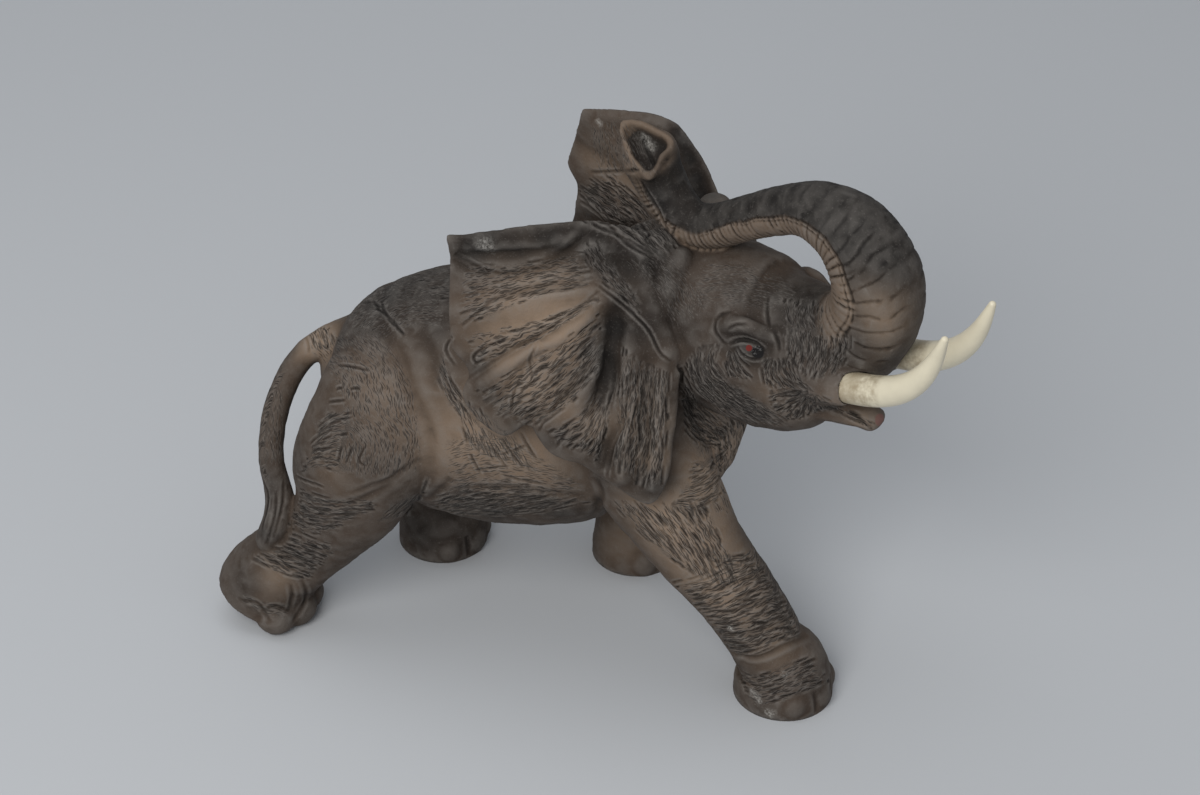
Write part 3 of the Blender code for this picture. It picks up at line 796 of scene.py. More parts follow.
def melted_form():
    """All masses as one smooth closed skin, in metres about the drawing's origin."""

    def fill(mesh):
        add_torso(mesh)
        add_hind_legs(mesh)
        add_raised_foot(mesh)
        add_fore_legs(mesh)
        add_toes(mesh)
        add_tail(mesh)
        add_head(mesh)
        add_trunk(mesh)
        add_right_ear(mesh)
        add_left_ear(mesh)

    thing = new_object("masses", mesh_of("masses", fill))
    melt = thing.modifiers.new("Melt", "REMESH")
    melt.mode = "VOXEL"
    melt.voxel_size = VOXEL
    soften = thing.modifiers.new("Soften", "SMOOTH")
    soften.factor = 0.5
    soften.iterations = int(round(2.0 * (SOFTEN_LENGTH / VOXEL) ** 2))
    return evaluated(thing)


def cut_form(mesh):
    """Flat soles, and the sockets that the tusks sit in."""
    thing = new_object("form", mesh)
    size = 0.5

    def block(made):
        bmesh.ops.create_cube(made, size=size)
        bmesh.ops.translate(made, verts=made.verts, vec=(0.0, 0.0, -size / 2))

    def hole(side):
        inset = SOCKET_DEPTH + SOCKET_CLEARANCE
        rings = tusk_rings(side, inset, 2 * TUSK_RADIUS, SOCKET_CLEARANCE, 9, 24)
        return lambda made: bridge(made, rings)

    tools = []
    for name, fill in (("ground", block), ("right_hole", hole(RIGHT)), ("left_hole", hole(LEFT))):
        tool = new_object(name, mesh_of(name, fill))
        chop = thing.modifiers.new(name, "BOOLEAN")
        chop.operation = "DIFFERENCE"
        chop.solver = "MANIFOLD"
        chop.object = tool
        tools.append(tool)
    made = evaluated(thing)
    for tool in tools:
        bpy.data.objects.remove(tool, do_unlink=True)
    return made


def places(mesh):
    found = np.zeros(len(mesh.vertices) * 3)
    mesh.vertices.foreach_get("co", found)
    return found.reshape(-1, 3)


def facings(mesh):
    found = np.zeros(len(mesh.vertices) * 3)
    mesh.vertex_normals.foreach_get("vector", found)
    return found.reshape(-1, 3)


def tree_of(mesh):
    return BVHTree.FromPolygons([v.co[:] for v in mesh.vertices], [p.vertices[:] for p in mesh.polygons])


def soft_noise(points, size, seed):
    """Smooth noise about 0, between -1 and 1, whose patches are about size metres across."""
    table = np.random.default_rng(seed).uniform(-1.0, 1.0, 65536)
    p = points / size
    cell = np.floor(p).astype(np.int64)
    f = p - cell
    f = f * f * (3 - 2 * f)
    total = np.zeros(len(points))
    for dx in (0, 1):
        for dy in (0, 1):
            for dz in (0, 1):
                corner = cell + (dx, dy, dz)
                pick = (corner[:, 0] * 73856093) ^ (corner[:, 1] * 19349663) ^ (corner[:, 2] * 83492791)
                weight = np.abs(1 - dx - f[:, 0]) * np.abs(1 - dy - f[:, 1]) * np.abs(1 - dz - f[:, 2])
                total += weight * table[pick & 65535]
    return total


def smooth_step(low, high, value):
    t = np.clip((value - low) / (high - low), 0.0, 1.0)
    return t * t * (3 - 2 * t)


# The trunk's own coordinates: how far along it, and how far round it


def trunk_frame():
    rows = np.array(trunk_stations(), float)
    centres = np.array([head_point(*row[:3]) for row in rows])
    line = smooth_rows(np.column_stack([centres, rows[:, 3:] * SHARE]), 24)
    ahead = unit(np.gradient(line[:, :3], axis=0))
    side = head_side()
    across = unit(side - (ahead @ side)[:, None] * ahead)
    outer = np.cross(across, ahead)
    along = np.concatenate([[0.0], np.cumsum(np.linalg.norm(np.diff(line[:, :3], axis=0), axis=1))])
    return line, ahead, across, outer, along


def on_trunk(points):
    """(along, turn, mask): metres from the face, and the angle from the arch's outer side, positive on the
    animal's right. The mask fades out where the trunk meets the face."""
    line, ahead, across, outer, along = trunk_frame()
    count = len(points)
    run = np.zeros(count)
    turn = np.zeros(count)
    mask = np.zeros(count)
    low = line[:, :3].min(0) - 0.02
    high = line[:, :3].max(0) + 0.02
    near = np.nonzero(((points > low) & (points < high)).all(1))[0]
    for part in np.array_split(near, max(1, len(near) // 20000)):
        gap = points[part][:, None] - line[None, :, :3]
        apart = (gap * gap).sum(2)
        best = apart.argmin(1)
        rows = np.arange(len(part))
        step = gap[rows, best]
        run[part] = along[best] + (step * ahead[best]).sum(1)
        turn[part] = np.arctan2(-(step * across[best]).sum(1), (step * outer[best]).sum(1))
        fill = np.sqrt(apart[rows, best]) / line[best, 3:].mean(1)
        mask[part] = smooth_step(1.22, 1.10, fill) * smooth_step(0.000, 0.010, run[part])
    return run, turn, mask


# (share of the trunk's length, distance between rings), then widths and depths of its lines, in metres
RING_STEPS = ((0.0, 0.0034), (0.3, 0.0026), (0.55, 0.0018), (1.0, 0.0015))
RING_WIDTH = 0.00036
SECOND_SEAM_WIDTH = 0.0003
RING_DEPTH = 0.00045
OUTER_RING_DEPTH = 0.00026
FAINT_RING_DEPTH = 0.00015
SEAM_DEPTH = 0.00045
BAND_SWELL = 0.00030
SEAM_REACH = 0.010
SEAM_GAP = 0.13
SLIT_DEPTH = 0.0008


def trunk_carving(points):
    """(sink, wash, band, shade): the rings of the trunk, the line along its side, where its light band lies,
    and where it is airbrushed dark. The wash that darkens the rings and the line is partly painted shade."""
    run, turn, mask = on_trunk(points)
    length = trunk_frame()[4][-1]
    share = run / length
    aside = np.abs(turn)
    wobble = soft_noise(points, 0.006, 11)
    edge = math.radians(84) + math.radians(14) * smooth_step(0.35, 0.0, share) + 0.10 * wobble
    begun = smooth_step(0.05, 0.12, share)
    band = smooth_step(-0.10, 0.10, aside - edge) * mask * begun * smooth_step(0.97, 0.86, share)
    shares = np.linspace(0.0, 1.0, 200)
    steps = np.interp(shares, *zip(*RING_STEPS))
    turns = np.interp(share, shares, np.cumsum(length / len(shares) / steps))
    spacing = np.interp(share, shares, steps)
    phase = turns + 0.25 * wobble + 0.35 * (aside - math.pi) * smooth_step(0.3, 0.0, share)
    ring = np.floor(phase)
    distance = np.abs(phase - ring - 0.5) * spacing
    pick = np.random.default_rng(5).uniform(0.15, 1.0, 400)[ring.astype(int) % 400]
    broken = smooth_step(-0.55, 0.1, soft_noise(points, 0.0028, 12) + 0.25)
    groove = np.exp(-((distance / RING_WIDTH) ** 2)) * pick * broken
    inner = groove * band
    outside = mask * (1 - band) * smooth_step(0.42, 0.25, share) * begun
    slant = turns * 0.75 + 0.5 * aside + 0.3 * wobble
    far = np.abs(slant - np.floor(slant) - 0.5) * spacing / 0.75
    outer = np.exp(-((far / RING_WIDTH) ** 2)) * outside * smooth_step(0.1, 0.7, aside) * broken
    faint = groove * mask * (1 - band) * 0.25 * begun
    dashes = smooth_step(-0.2, 0.3, soft_noise(points, 0.0022, 13) + 0.2)
    seam = np.exp(-(((aside - edge) * SEAM_REACH / RING_WIDTH) ** 2)) * dashes
    beside = (aside - edge - SEAM_GAP) * SEAM_REACH / SECOND_SEAM_WIDTH
    seam += np.exp(-(beside**2)) * dashes * 0.7
    seam *= mask * smooth_step(0.98, 0.90, share) * smooth_step(0.08, 0.16, share)
    sink = RING_DEPTH * inner + OUTER_RING_DEPTH * outer + FAINT_RING_DEPTH * faint + SEAM_DEPTH * seam
    sink -= BAND_SWELL * band * (1 - groove)
    wash_and_shade = np.clip(inner * 0.62 + outer * 0.45 + faint * 0.35 + seam * 0.75, 0.0, 1.0)
    shade = mask * (1 - band) * smooth_step(0.16, 0.34, share) * smooth_step(1.0, 0.9, share)
    shade = np.maximum(shade, mask * begun * (1 - band) * smooth_step(1.3, 0.2, aside) * 0.35)
    return sink, wash_and_shade, band, shade


def nostril_shade(points):
    """Dark in the hollow in the end of the trunk, darkest along the slit between the nostrils."""
    line, ahead, across, outer, _ = trunk_frame()
    gap = points - line[-1, :3]
    depth = gap @ ahead[-1]
    a = gap @ across[-1]
    b = gap @ outer[-1]
    far = np.hypot(a, b)
    lies = (depth < -0.0004) & (depth > -0.006) & (far < 0.75 * TRUNK_TIP_RADIUS)
    slit = np.exp(-(((a + 0.5 * b) / 0.0007) ** 2)) * smooth_step(0.0055, 0.0035, far)
    return np.where(lies, smooth_step(-0.0004, -0.0030, depth), 0.0), np.where(lies, slit, 0.0)


# What is carved


def carve_near_ear(carving):
    """Folds of the right ear, as broad valleys and ridges, then its creases and strokes."""
    valleys = [
        ([(453, 255), (475, 269), (498, 274), (518, 274), (545, 266), (568, 253), (591, 231)], 1.7, 1.5),
        ([(591, 304), (575, 319), (551, 334), (525, 343), (492, 363), (469, 384)], 1.8, 1.5),
        ([(498, 298), (531, 291), (565, 286), (598, 284)], 1.3, 0.9),
        ([(621, 318), (611, 346), (608, 372), (596, 405), (582, 425)], 2.4, 2.0),
        ([(631, 384), (621, 419), (609, 447), (606, 470)], 1.8, 1.7),
        ([(598, 356), (568, 392), (538, 421)], 1.5, 1.0),
        ([(650, 372), (648, 410), (645, 452), (640, 482)], 1.6, 1.0),
        ([(545, 345), (510, 385), (487, 412)], 1.5, 0.8),
    ]
    for path, width, depth in valleys:
        carving.crease(photo_ray, path, width, depth, burr=0.25, wash_and_shade=0.35)
    ridges = [
        ([(462, 248), (500, 246), (545, 243), (590, 232)], 1.5, -0.9),
        ([(612, 392), (603, 420), (594, 450)], 1.4, -0.9),
        ([(660, 380), (661, 420), (655, 470)], 1.4, -0.8),
        ([(596, 284), (621, 303), (647, 326), (660, 350), (679, 361)], 1.4, -0.35),
    ]
    for path, width, depth in ridges:
        carving.crease(photo_ray, path, width, depth, wash_and_shade=0.0)
    creases = [
        [(454, 254), (470, 262), (497, 273), (530, 272)], [(589, 285), (560, 290), (516, 296)],
        [(498, 296), (480, 311), (461, 326)],
        [(600, 290), (575, 311), (540, 334), (510, 350), (468, 378)],
        [(560, 322), (530, 340), (497, 352)], [(536, 345), (530, 362), (532, 380)],
        [(478, 365), (474, 356), (488, 345)], [(578, 376), (560, 396), (538, 431)],
        [(592, 372), (572, 388), (548, 412), (542, 421)], [(523, 372), (514, 392), (510, 415)],
        [(541, 424), (556, 413), (566, 407)], [(557, 446), (563, 436), (570, 429)],
        [(585, 452), (591, 443), (596, 436)], [(611, 350), (613, 385), (600, 430)],
        [(627, 388), (622, 420), (610, 452), (607, 478)], [(640, 420), (640, 445), (632, 463)],
        [(648, 395), (652, 420), (655, 440)], [(664, 400), (660, 430), (664, 450)],
        [(596, 284), (621, 303), (647, 328), (660, 352), (672, 362)],
    ]
    for path in creases:
        carving.crease(photo_ray, path, 0.45, 0.55, burr=0.35)
    patches = [
        ([
            [(600, 296), (540, 318), (465, 335)], [(600, 300), (545, 338), (472, 372)],
        ], 7, 101, (3, 9), 0.4, 0.38, 0.5),
        ([
            [(585, 250), (520, 262), (458, 262)], [(592, 272), (530, 280), (456, 300)],
            [(596, 286), (535, 300), (462, 330)],
        ], 12, 102, (3, 8), 0.35, 0.3, 0.6),
        ([
            [(600, 312), (545, 350), (475, 390)], [(602, 330), (552, 375), (490, 412)],
            [(604, 350), (560, 395), (512, 425)], [(602, 372), (570, 405), (540, 425)],
        ], 26, 103, (2.5, 8), 0.4, 0.38, 0.5),
        ([
            [(600, 385), (575, 415), (545, 430)], [(604, 395), (585, 430), (560, 445)],
            [(606, 405), (596, 435), (585, 455)], [(612, 410), (606, 445), (602, 465)],
        ], 22, 104, (2, 7), 0.4, 0.42, 0.5),
        ([
            [(622, 345), (616, 400), (612, 468)], [(640, 360), (634, 420), (622, 478)],
            [(655, 365), (652, 430), (640, 488)], [(670, 372), (668, 430), (662, 490)],
        ], 30, 105, (2.5, 9), 0.42, 0.4, 0.5),
        ([
            [(600, 240), (612, 262), (640, 300)], [(576, 246), (596, 275), (640, 318)],
        ], 10, 106, (2, 5), 0.35, 0.22, 0.6),
    ]
    for patch in patches:
        carving.hatch(photo_ray, *patch)


def carve_far_ear(carving):
    """Wrinkles that radiate over the inner face of the left ear, and its curled front rim."""
    creases = [
        [(590, 172), (605, 172), (640, 170)], [(602, 212), (640, 232), (668, 256)],
        [(606, 206), (625, 216), (648, 240)], [(580, 200), (600, 216), (628, 244), (650, 256)],
        [(612, 180), (628, 205), (650, 236)], [(596, 222), (620, 226), (650, 250)],
        [(640, 180), (655, 205), (672, 236)],
    ]
    for path in creases:
        carving.crease(photo_ray, path, 0.5, 0.55, burr=0.35)
    patches = [
        ([
            [(575, 190), (610, 225), (660, 262)], [(580, 185), (625, 215), (668, 256)],
            [(592, 176), (636, 210), (674, 250)], [(612, 170), (650, 208), (682, 246)],
        ], 26, 111, (3, 12), 0.42, 0.42, 0.35),
        ([
            [(586, 205), (590, 222), (630, 240)], [(582, 222), (620, 236), (668, 262)],
        ], 8, 112, (3, 9), 0.42, 0.4, 0.4),
    ]
    for patch in patches:
        carving.hatch(photo_ray, *patch)
    carving.crease(photo_ray, [(596, 116), (650, 122), (682, 140), (694, 168)], 1.6, -0.8, wash_and_shade=0.0)
    carving.hatch(left_ray, [
        [(46, 140), (20, 160), (-4, 162)], [(46, 136), (15, 146), (-8, 148)],
        [(46, 130), (15, 132), (-8, 130)], [(44, 124), (14, 114), (-6, 112)],
        [(42, 118), (22, 102), (8, 98)], [(42, 112), (36, 96), (30, 88)],
    ], 54, 113, (3, 11), 0.42, 0.36)


def carve_face(carving):
    """Eyelids, brow, and the strokes that fan out from the eye and the corner of the mouth."""
    lids = [
        ([(728, 344), (736, 341), (744, 340), (756, 343), (765, 351)], 0.55, 0.65, 0.6),
        ([(737, 347), (742, 354), (751, 359), (762, 358)], 0.45, 0.45, 0.5),
        ([(735, 350), (741, 360), (750, 368)], 0.5, 0.55, 0.4),
        ([(716, 318), (715, 330), (722, 341), (728, 344)], 0.5, 0.35, 0.1),
        ([(716, 320), (722, 314), (732, 312)], 0.5, 0.2, 0.1),
        ([(773, 330), (778, 341), (780, 352)], 0.5, 0.25, 0.1),
        ([(727, 330), (735, 325), (748, 324)], 0.5, 0.2, 0.1),
        ([(768, 297), (767, 312), (770, 328)], 0.5, 0.2, 0.1),
    ]
    for path, width, depth, burr in lids:
        carving.crease(photo_ray, path, width, depth, burr=burr)
    fine = 0.36
    patches = [
        ([
            [(683, 366), (694, 388), (720, 412), (748, 428)],
            [(698, 346), (700, 372), (722, 398), (762, 424)],
            [(708, 344), (706, 368), (728, 392), (780, 426)],
            [(720, 344), (716, 362), (738, 388), (790, 420)],
        ], 40, 121, (2.5, 9), fine, 0.42, 0.3),
        ([
            [(729, 350), (723, 364), (724, 378)], [(731, 352), (734, 368), (744, 380)],
            [(734, 352), (744, 366), (756, 378)],
        ], 12, 122, (1.5, 4.5), fine, 0.38, 0.3),
        ([
            [(765, 358), (760, 366), (762, 384)], [(772, 358), (770, 372), (776, 390)],
            [(780, 358), (784, 376), (804, 390)], [(788, 356), (794, 378), (810, 392)],
            [(796, 352), (800, 376), (814, 392)],
        ], 26, 123, (2, 6.5), fine, 0.45, 0.25),
        ([
            [(808, 392), (786, 388), (770, 390)], [(807, 393), (786, 394), (768, 400)],
            [(807, 394), (790, 402), (772, 410)], [(808, 395), (796, 408), (788, 420)],
            [(810, 395), (803, 408), (798, 420)], [(812, 395), (812, 406), (812, 414)],
            [(815, 395), (821, 404), (828, 410)], [(818, 396), (832, 406), (846, 416)],
        ], 44, 124, (2, 6), fine, 0.5, 0.25),
        ([
            [(786, 326), (786, 345), (784, 356)], [(796, 326), (796, 350), (794, 366)],
            [(806, 330), (806, 352), (803, 375)], [(822, 334), (820, 356), (812, 380)],
            [(838, 334), (838, 352), (826, 378)], [(852, 336), (850, 352), (836, 376)],
        ], 34, 125, (2, 6), fine, 0.4, 0.4),
        ([
            [(785, 296), (782, 312), (786, 326)], [(800, 300), (798, 316), (800, 330)],
            [(826, 300), (826, 316), (826, 334)],
        ], 10, 126, (1.5, 4), fine, 0.25, 0.6),
        ([
            [(822, 397), (850, 410), (876, 424)], [(818, 400), (845, 416), (872, 430)],
        ], 8, 127, (3, 12), fine, 0.35, 0.2),
        ([
            [(683, 372), (700, 400), (735, 430)], [(683, 390), (700, 415), (730, 436)],
            [(683, 408), (695, 425), (722, 440)], [(684, 430), (700, 445), (718, 450)],
        ], 24, 129, (3, 10), 0.42, 0.4, 0.3),
    ]
    for patch in patches:
        carving.hatch(photo_ray, *patch)
    carving.crease(photo_ray, [(678, 364), (681, 372), (681, 382)], 0.6, 1.2)
    carving.hatch(left_ray, [
        [(58, 128), (66, 112), (78, 104)], [(64, 132), (70, 116), (86, 108)],
        [(70, 130), (76, 118), (92, 114)], [(78, 128), (84, 120), (96, 122)],
    ], 30, 130, (2, 8), fine, 0.4, gap=0.4)


def carve_neck_and_chest(carving):
    patches = [
        (photo_ray, [
            [(735, 436), (712, 455), (690, 462)], [(728, 452), (706, 474), (688, 482)],
            [(722, 475), (704, 492), (676, 498)], [(722, 500), (700, 512), (668, 508)],
        ], 26, 141, (2.5, 8), 0.42, 0.36, 0.5),
        (front_ray, [
            [(-20, 96), (-14, 78), (-6, 60)], [(-8, 98), (-4, 78), (2, 56)],
            [(10, 98), (10, 78), (8, 56)], [(24, 98), (20, 78), (16, 60)],
        ], 30, 142, (4, 12), 0.45, 0.36, 0.5),
    ]
    for patch in patches:
        carving.hatch(*patch)


def carve_flank(carving):
    """The thigh's outline, creases over the belly, and tool strokes."""
    broad = [
        ([(379, 322), (399, 352), (415, 398), (429, 426), (432, 455), (430, 484)], 2.2, 1.0),
        ([(418, 330), (429, 346), (437, 369), (435, 392)], 2.4, 0.9),
        ([(299, 497), (312, 504), (334, 505), (353, 503), (385, 487), (412, 466)], 1.4, 0.7),
        ([(350, 494), (369, 487), (390, 479), (409, 466), (421, 458)], 1.0, 0.7),
        ([(430, 500), (442, 488), (452, 478)], 1.3, 0.9),
        ([(440, 492), (480, 488), (540, 492), (590, 497)], 1.5, 0.8),
        ([(322, 332), (320, 350), (322, 358)], 0.9, 0.4),
        ([(596, 478), (600, 495), (596, 514)], 1.5, 0.9),
    ]
    for path, width, depth in broad:
        carving.crease(photo_ray, path, width, depth, burr=0.1, wash_and_shade=0.3)
    cuts = [
        [(338, 365), (354, 367), (370, 371)], [(328, 402), (337, 401), (346, 400)],
        [(310, 444), (318, 436), (333, 429)], [(312, 450), (322, 449), (333, 447)],
        [(342, 446), (340, 453), (338, 461)], [(352, 446), (350, 452), (347, 460)],
        [(365, 446), (361, 454), (359, 461), (365, 466)], [(350, 389), (356, 388), (361, 389)],
        [(336, 390), (339, 388), (343, 388)], [(296, 476), (309, 482), (325, 487)],
        [(320, 424), (328, 418), (337, 414)], [(321, 432), (331, 424), (342, 420)],
        [(452, 336), (446, 350), (455, 366)], [(470, 452), (474, 462), (481, 475)],
        [(490, 444), (498, 456), (508, 470)], [(503, 440), (512, 454), (524, 469)],
        [(520, 432), (528, 446), (537, 460)], [(500, 455), (515, 450), (528, 444)],
        [(476, 472), (492, 468), (510, 466)], [(500, 474), (520, 480), (545, 484)],
        [(372, 502), (370, 505), (374, 508)],
    ]
    for path in cuts:
        carving.crease(photo_ray, path, 0.42, 0.5, burr=0.45)
    patches = [
        ([
            [(436, 380), (450, 404), (462, 420)], [(440, 350), (456, 384), (475, 412)],
        ], 10, 151, (4, 11), 0.42, 0.4, 0.4),
        ([
            [(452, 400), (462, 430), (468, 452)], [(470, 400), (484, 436), (496, 462)],
            [(520, 440), (532, 458), (545, 476)],
        ], 12, 152, (2.5, 7), 0.38, 0.32, 0.6),
        ([
            [(432, 498), (470, 484), (520, 484)], [(434, 508), (480, 498), (540, 492)],
            [(450, 514), (500, 508), (560, 496)], [(480, 516), (530, 514), (592, 502)],
        ], 30, 153, (3, 9), 0.4, 0.4, 0.35),
        ([
            [(385, 318), (372, 306), (352, 300)], [(398, 330), (384, 312), (370, 300)],
            [(410, 340), (395, 322), (384, 304)],
        ], 12, 154, (2.5, 7), 0.38, 0.26, 0.5),
        ([
            [(318, 420), (330, 412), (350, 408)], [(316, 436), (330, 424), (352, 418)],
            [(305, 462), (322, 455), (344, 452)], [(300, 474), (318, 470), (345, 478)],
        ], 16, 155, (2, 6), 0.36, 0.3, 0.6),
        ([
            [(300, 488), (330, 498), (370, 498)], [(300, 500), (330, 510), (380, 508)],
            [(292, 512), (318, 520), (350, 520)], [(288, 524), (306, 532), (330, 536)],
        ], 24, 156, (2.5, 9), 0.4, 0.42, 0.4),
        ([
            [(400, 500), (385, 512), (372, 524)], [(425, 492), (412, 508), (398, 518)],
            [(430, 470), (424, 490), (416, 508)],
        ], 14, 157, (2.5, 8), 0.38, 0.32, 0.5),
    ]
    for patch in patches:
        carving.hatch(photo_ray, *patch)


def carve_faint_grain(carving):
    """Patches of fine strokes too shallow to cut, which only the skin's material draws."""
    for guides, strength in FAINT_PATCHES:
        carving.patches.append((photo_ray, guides, strength))


# (guides of the strokes as photo pixels, strength)
FAINT_PATCHES = [
    ([
        [(300, 345), (330, 380), (345, 430)], [(330, 330), (362, 372), (378, 420)],
        [(356, 322), (392, 368), (404, 430)], [(376, 322), (412, 380), (424, 440)],
    ], 0.1),
    ([
        [(305, 420), (325, 440), (330, 470)], [(340, 420), (356, 440), (358, 480)],
        [(380, 410), (396, 440), (392, 480)], [(404, 400), (424, 436), (420, 476)],
    ], 0.1),
    ([
        [(330, 310), (380, 280), (440, 262)], [(345, 330), (392, 300), (446, 290)],
        [(372, 350), (410, 330), (448, 330)],
    ], 0.0),
    ([
        [(440, 440), (480, 430), (510, 440)], [(440, 462), (490, 450), (560, 466)],
        [(440, 484), (500, 474), (590, 486)], [(440, 500), (500, 492), (592, 500)],
    ], 0.1),
    ([
        [(700, 262), (745, 262), (800, 284)], [(690, 285), (740, 286), (800, 300)],
        [(686, 312), (712, 308), (770, 312)],
    ], -0.2),
    ([
        [(620, 260), (650, 290), (672, 330)], [(650, 250), (680, 280), (700, 322)],
        [(676, 256), (700, 284), (712, 316)],
    ], -0.2),
    ([
        [(588, 120), (590, 150), (596, 180)], [(610, 118), (620, 150), (630, 176)],
        [(634, 122), (650, 150), (664, 178)],
    ], -0.1),
    ([
        [(690, 430), (700, 470), (716, 520)], [(712, 430), (722, 470), (742, 520)],
    ], 0.0),
    ([
        [(240, 590), (262, 600), (290, 604)], [(238, 604), (262, 616), (292, 620)],
    ], 0.0),
    ([
        [(262, 360), (262, 400), (264, 470)], [(272, 340), (274, 380), (276, 470)],
        [(286, 330), (284, 380), (284, 470)],
    ], 0.0),
]


def carve_near_legs(carving):
    """Wrinkles round the wrist and ankle, and slanting strokes down the right legs."""
    patches = [
        ([
            [(607, 500), (640, 535), (672, 560)], [(640, 500), (675, 545), (700, 580)],
            [(676, 502), (705, 545), (728, 590)], [(706, 500), (728, 545), (745, 590)],
        ], 34, 161, (3, 11), 0.42, 0.4, 0.45),
        ([
            [(672, 582), (700, 575), (745, 552)], [(690, 604), (715, 598), (765, 572)],
            [(706, 622), (735, 618), (785, 598)], [(718, 640), (745, 640), (795, 618)],
            [(728, 655), (752, 656), (802, 636)],
        ], 34, 162, (3, 12), 0.45, 0.5, 0.3),
    ]
    for patch in patches:
        carving.hatch(photo_ray, *patch)
    for path in (
        [(700, 610), (730, 612), (790, 596)], [(716, 633), (748, 634), (795, 616)],
        [(728, 652), (760, 657), (808, 634)], [(690, 590), (720, 590), (768, 570)],
    ):
        carving.crease(photo_ray, path, 1.0, 0.8, burr=0.3, wash_and_shade=0.5)
    patches = [
        ([
            [(738, 668), (760, 672), (812, 652)], [(742, 684), (765, 690), (822, 668)],
            [(748, 700), (770, 706), (832, 684)],
        ], 14, 163, (2, 7), 0.4, 0.34, 0.55),
        ([
            [(292, 528), (320, 540), (338, 546)], [(285, 545), (310, 552), (330, 560)],
            [(262, 552), (285, 562), (315, 572)], [(250, 560), (280, 575), (312, 584)],
        ], 26, 164, (2.5, 9), 0.42, 0.45, 0.35),
    ]
    for patch in patches:
        carving.hatch(photo_ray, *patch)
    for path in ([(262, 556), (282, 566), (300, 572)], [(270, 548), (292, 556), (318, 566)]):
        carving.crease(photo_ray, path, 0.9, 0.7, burr=0.3, wash_and_shade=0.5)
    for path in (
        [(300, 578), (306, 592), (303, 606), (292, 622)], [(290, 583), (292, 597), (288, 612)],
        [(262, 612), (275, 606), (290, 612)], [(240, 600), (258, 604), (270, 622)],
    ):
        carving.crease(photo_ray, path, 0.7, 0.5, burr=0.3, wash_and_shade=0.6)


def carve_hidden_sides(carving):
    """Plainer strokes on the left side, the rump and the back."""
    wide = 0.42
    patches = [
        ([
            [(-34, 100), (-44, 78), (-40, 56)], [(-48, 104), (-58, 80), (-56, 54)],
            [(-60, 100), (-68, 80), (-66, 56)],
        ], 24, 171, (3, 9), wide, 0.32, 0.6),
        ([
            [(-36, 60), (-50, 56), (-64, 60)], [(-38, 48), (-50, 44), (-62, 48)],
            [(-40, 36), (-50, 33), (-62, 36)], [(-40, 24), (-50, 21), (-62, 24)],
        ], 30, 172, (3, 10), wide, 0.4, 0.4),
        ([
            [(2, 60), (14, 56), (28, 60)], [(4, 48), (14, 44), (26, 48)], [(4, 36), (14, 33), (25, 36)],
            [(4, 22), (14, 19), (25, 22)],
        ], 30, 173, (3, 10), wide, 0.4, 0.4),
        ([
            [(-36, 52), (-16, 44), (6, 50)], [(-34, 62), (-16, 56), (4, 62)],
            [(-32, 76), (-20, 70), (-10, 78)],
        ], 22, 174, (3, 10), wide, 0.32, 0.55),
        ([
            [(-14, 104), (-20, 92), (-18, 78)], [(-30, 112), (-32, 98), (-28, 82)],
        ], 10, 175, (3, 8), wide, 0.3, 0.6),
    ]
    for patch in patches:
        carving.hatch(left_ray, *patch)
    for path in (
        [(-30, 104), (-33, 84), (-35, 66), (-36, 50)], [(-36, 96), (-40, 80), (-38, 62)],
        [(-64, 62), (-54, 54), (-38, 52)], [(4, 66), (16, 61), (30, 68)],
    ):
        carving.crease(left_ray, path, 1.5, 1.1, burr=0.3, wash_and_shade=0.5)
    patches = [
        (rear_ray, [
            [(-22, 92), (-28, 74), (-28, 52)], [(-8, 88), (-10, 72), (-14, 58)],
            [(14, 88), (16, 72), (18, 56)], [(28, 92), (34, 74), (34, 52)],
        ], 30, 176, (3, 9), wide, 0.3, 0.6),
        (top_ray, [
            [(-60, -6), (-30, -8), (0, -10)], [(-60, 4), (-30, 4), (-4, 4)],
            [(-60, 14), (-30, 16), (0, 18)],
        ], 12, 177, (2, 6), wide, 0.16, 0.8),
        (front_ray, [
            [(-34, 62), (-24, 58), (-12, 62)], [(-34, 44), (-23, 40), (-12, 44)],
            [(-34, 28), (-23, 24), (-12, 28)],
        ], 22, 178, (3, 9), wide, 0.36, 0.5),
        (front_ray, [
            [(26, 62), (33, 58), (42, 62)], [(26, 44), (35, 40), (44, 44)],
            [(26, 28), (36, 24), (45, 28)],
        ], 20, 179, (3, 9), wide, 0.36, 0.5),
    ]
    for patch in patches:
        carving.hatch(*patch)
    for _, y in FLAT_FEET:
        foot = FOOT_RADIUS / SHARE
        for turn in (-44, 0, 44):
            angle = math.radians(turn)
            a = y + 0.9 * foot * math.sin(angle)
            carving.crease(front_ray, [(a, 9.5), (a, 5), (a, 0.5)], 0.7, 0.6, wash_and_shade=0.5)


def carve_tail(carving):
    carving.hatch(photo_ray, [
        [(306, 330), (310, 342), (312, 352)], [(318, 326), (322, 338), (326, 350)],
        [(330, 328), (334, 338), (336, 346)],
    ], 10, 181, (1.5, 4), 0.4, 0.3, gap=0.4)
    for path in (
        [(305, 334), (308, 345), (309, 354)], [(262, 478), (268, 500), (262, 530)],
        [(284, 478), (282, 505), (272, 540)], [(276, 490), (275, 515), (266, 545)],
    ):
        carving.crease(photo_ray, path, 0.5, 0.35, burr=0.3, wash_and_shade=0.7)


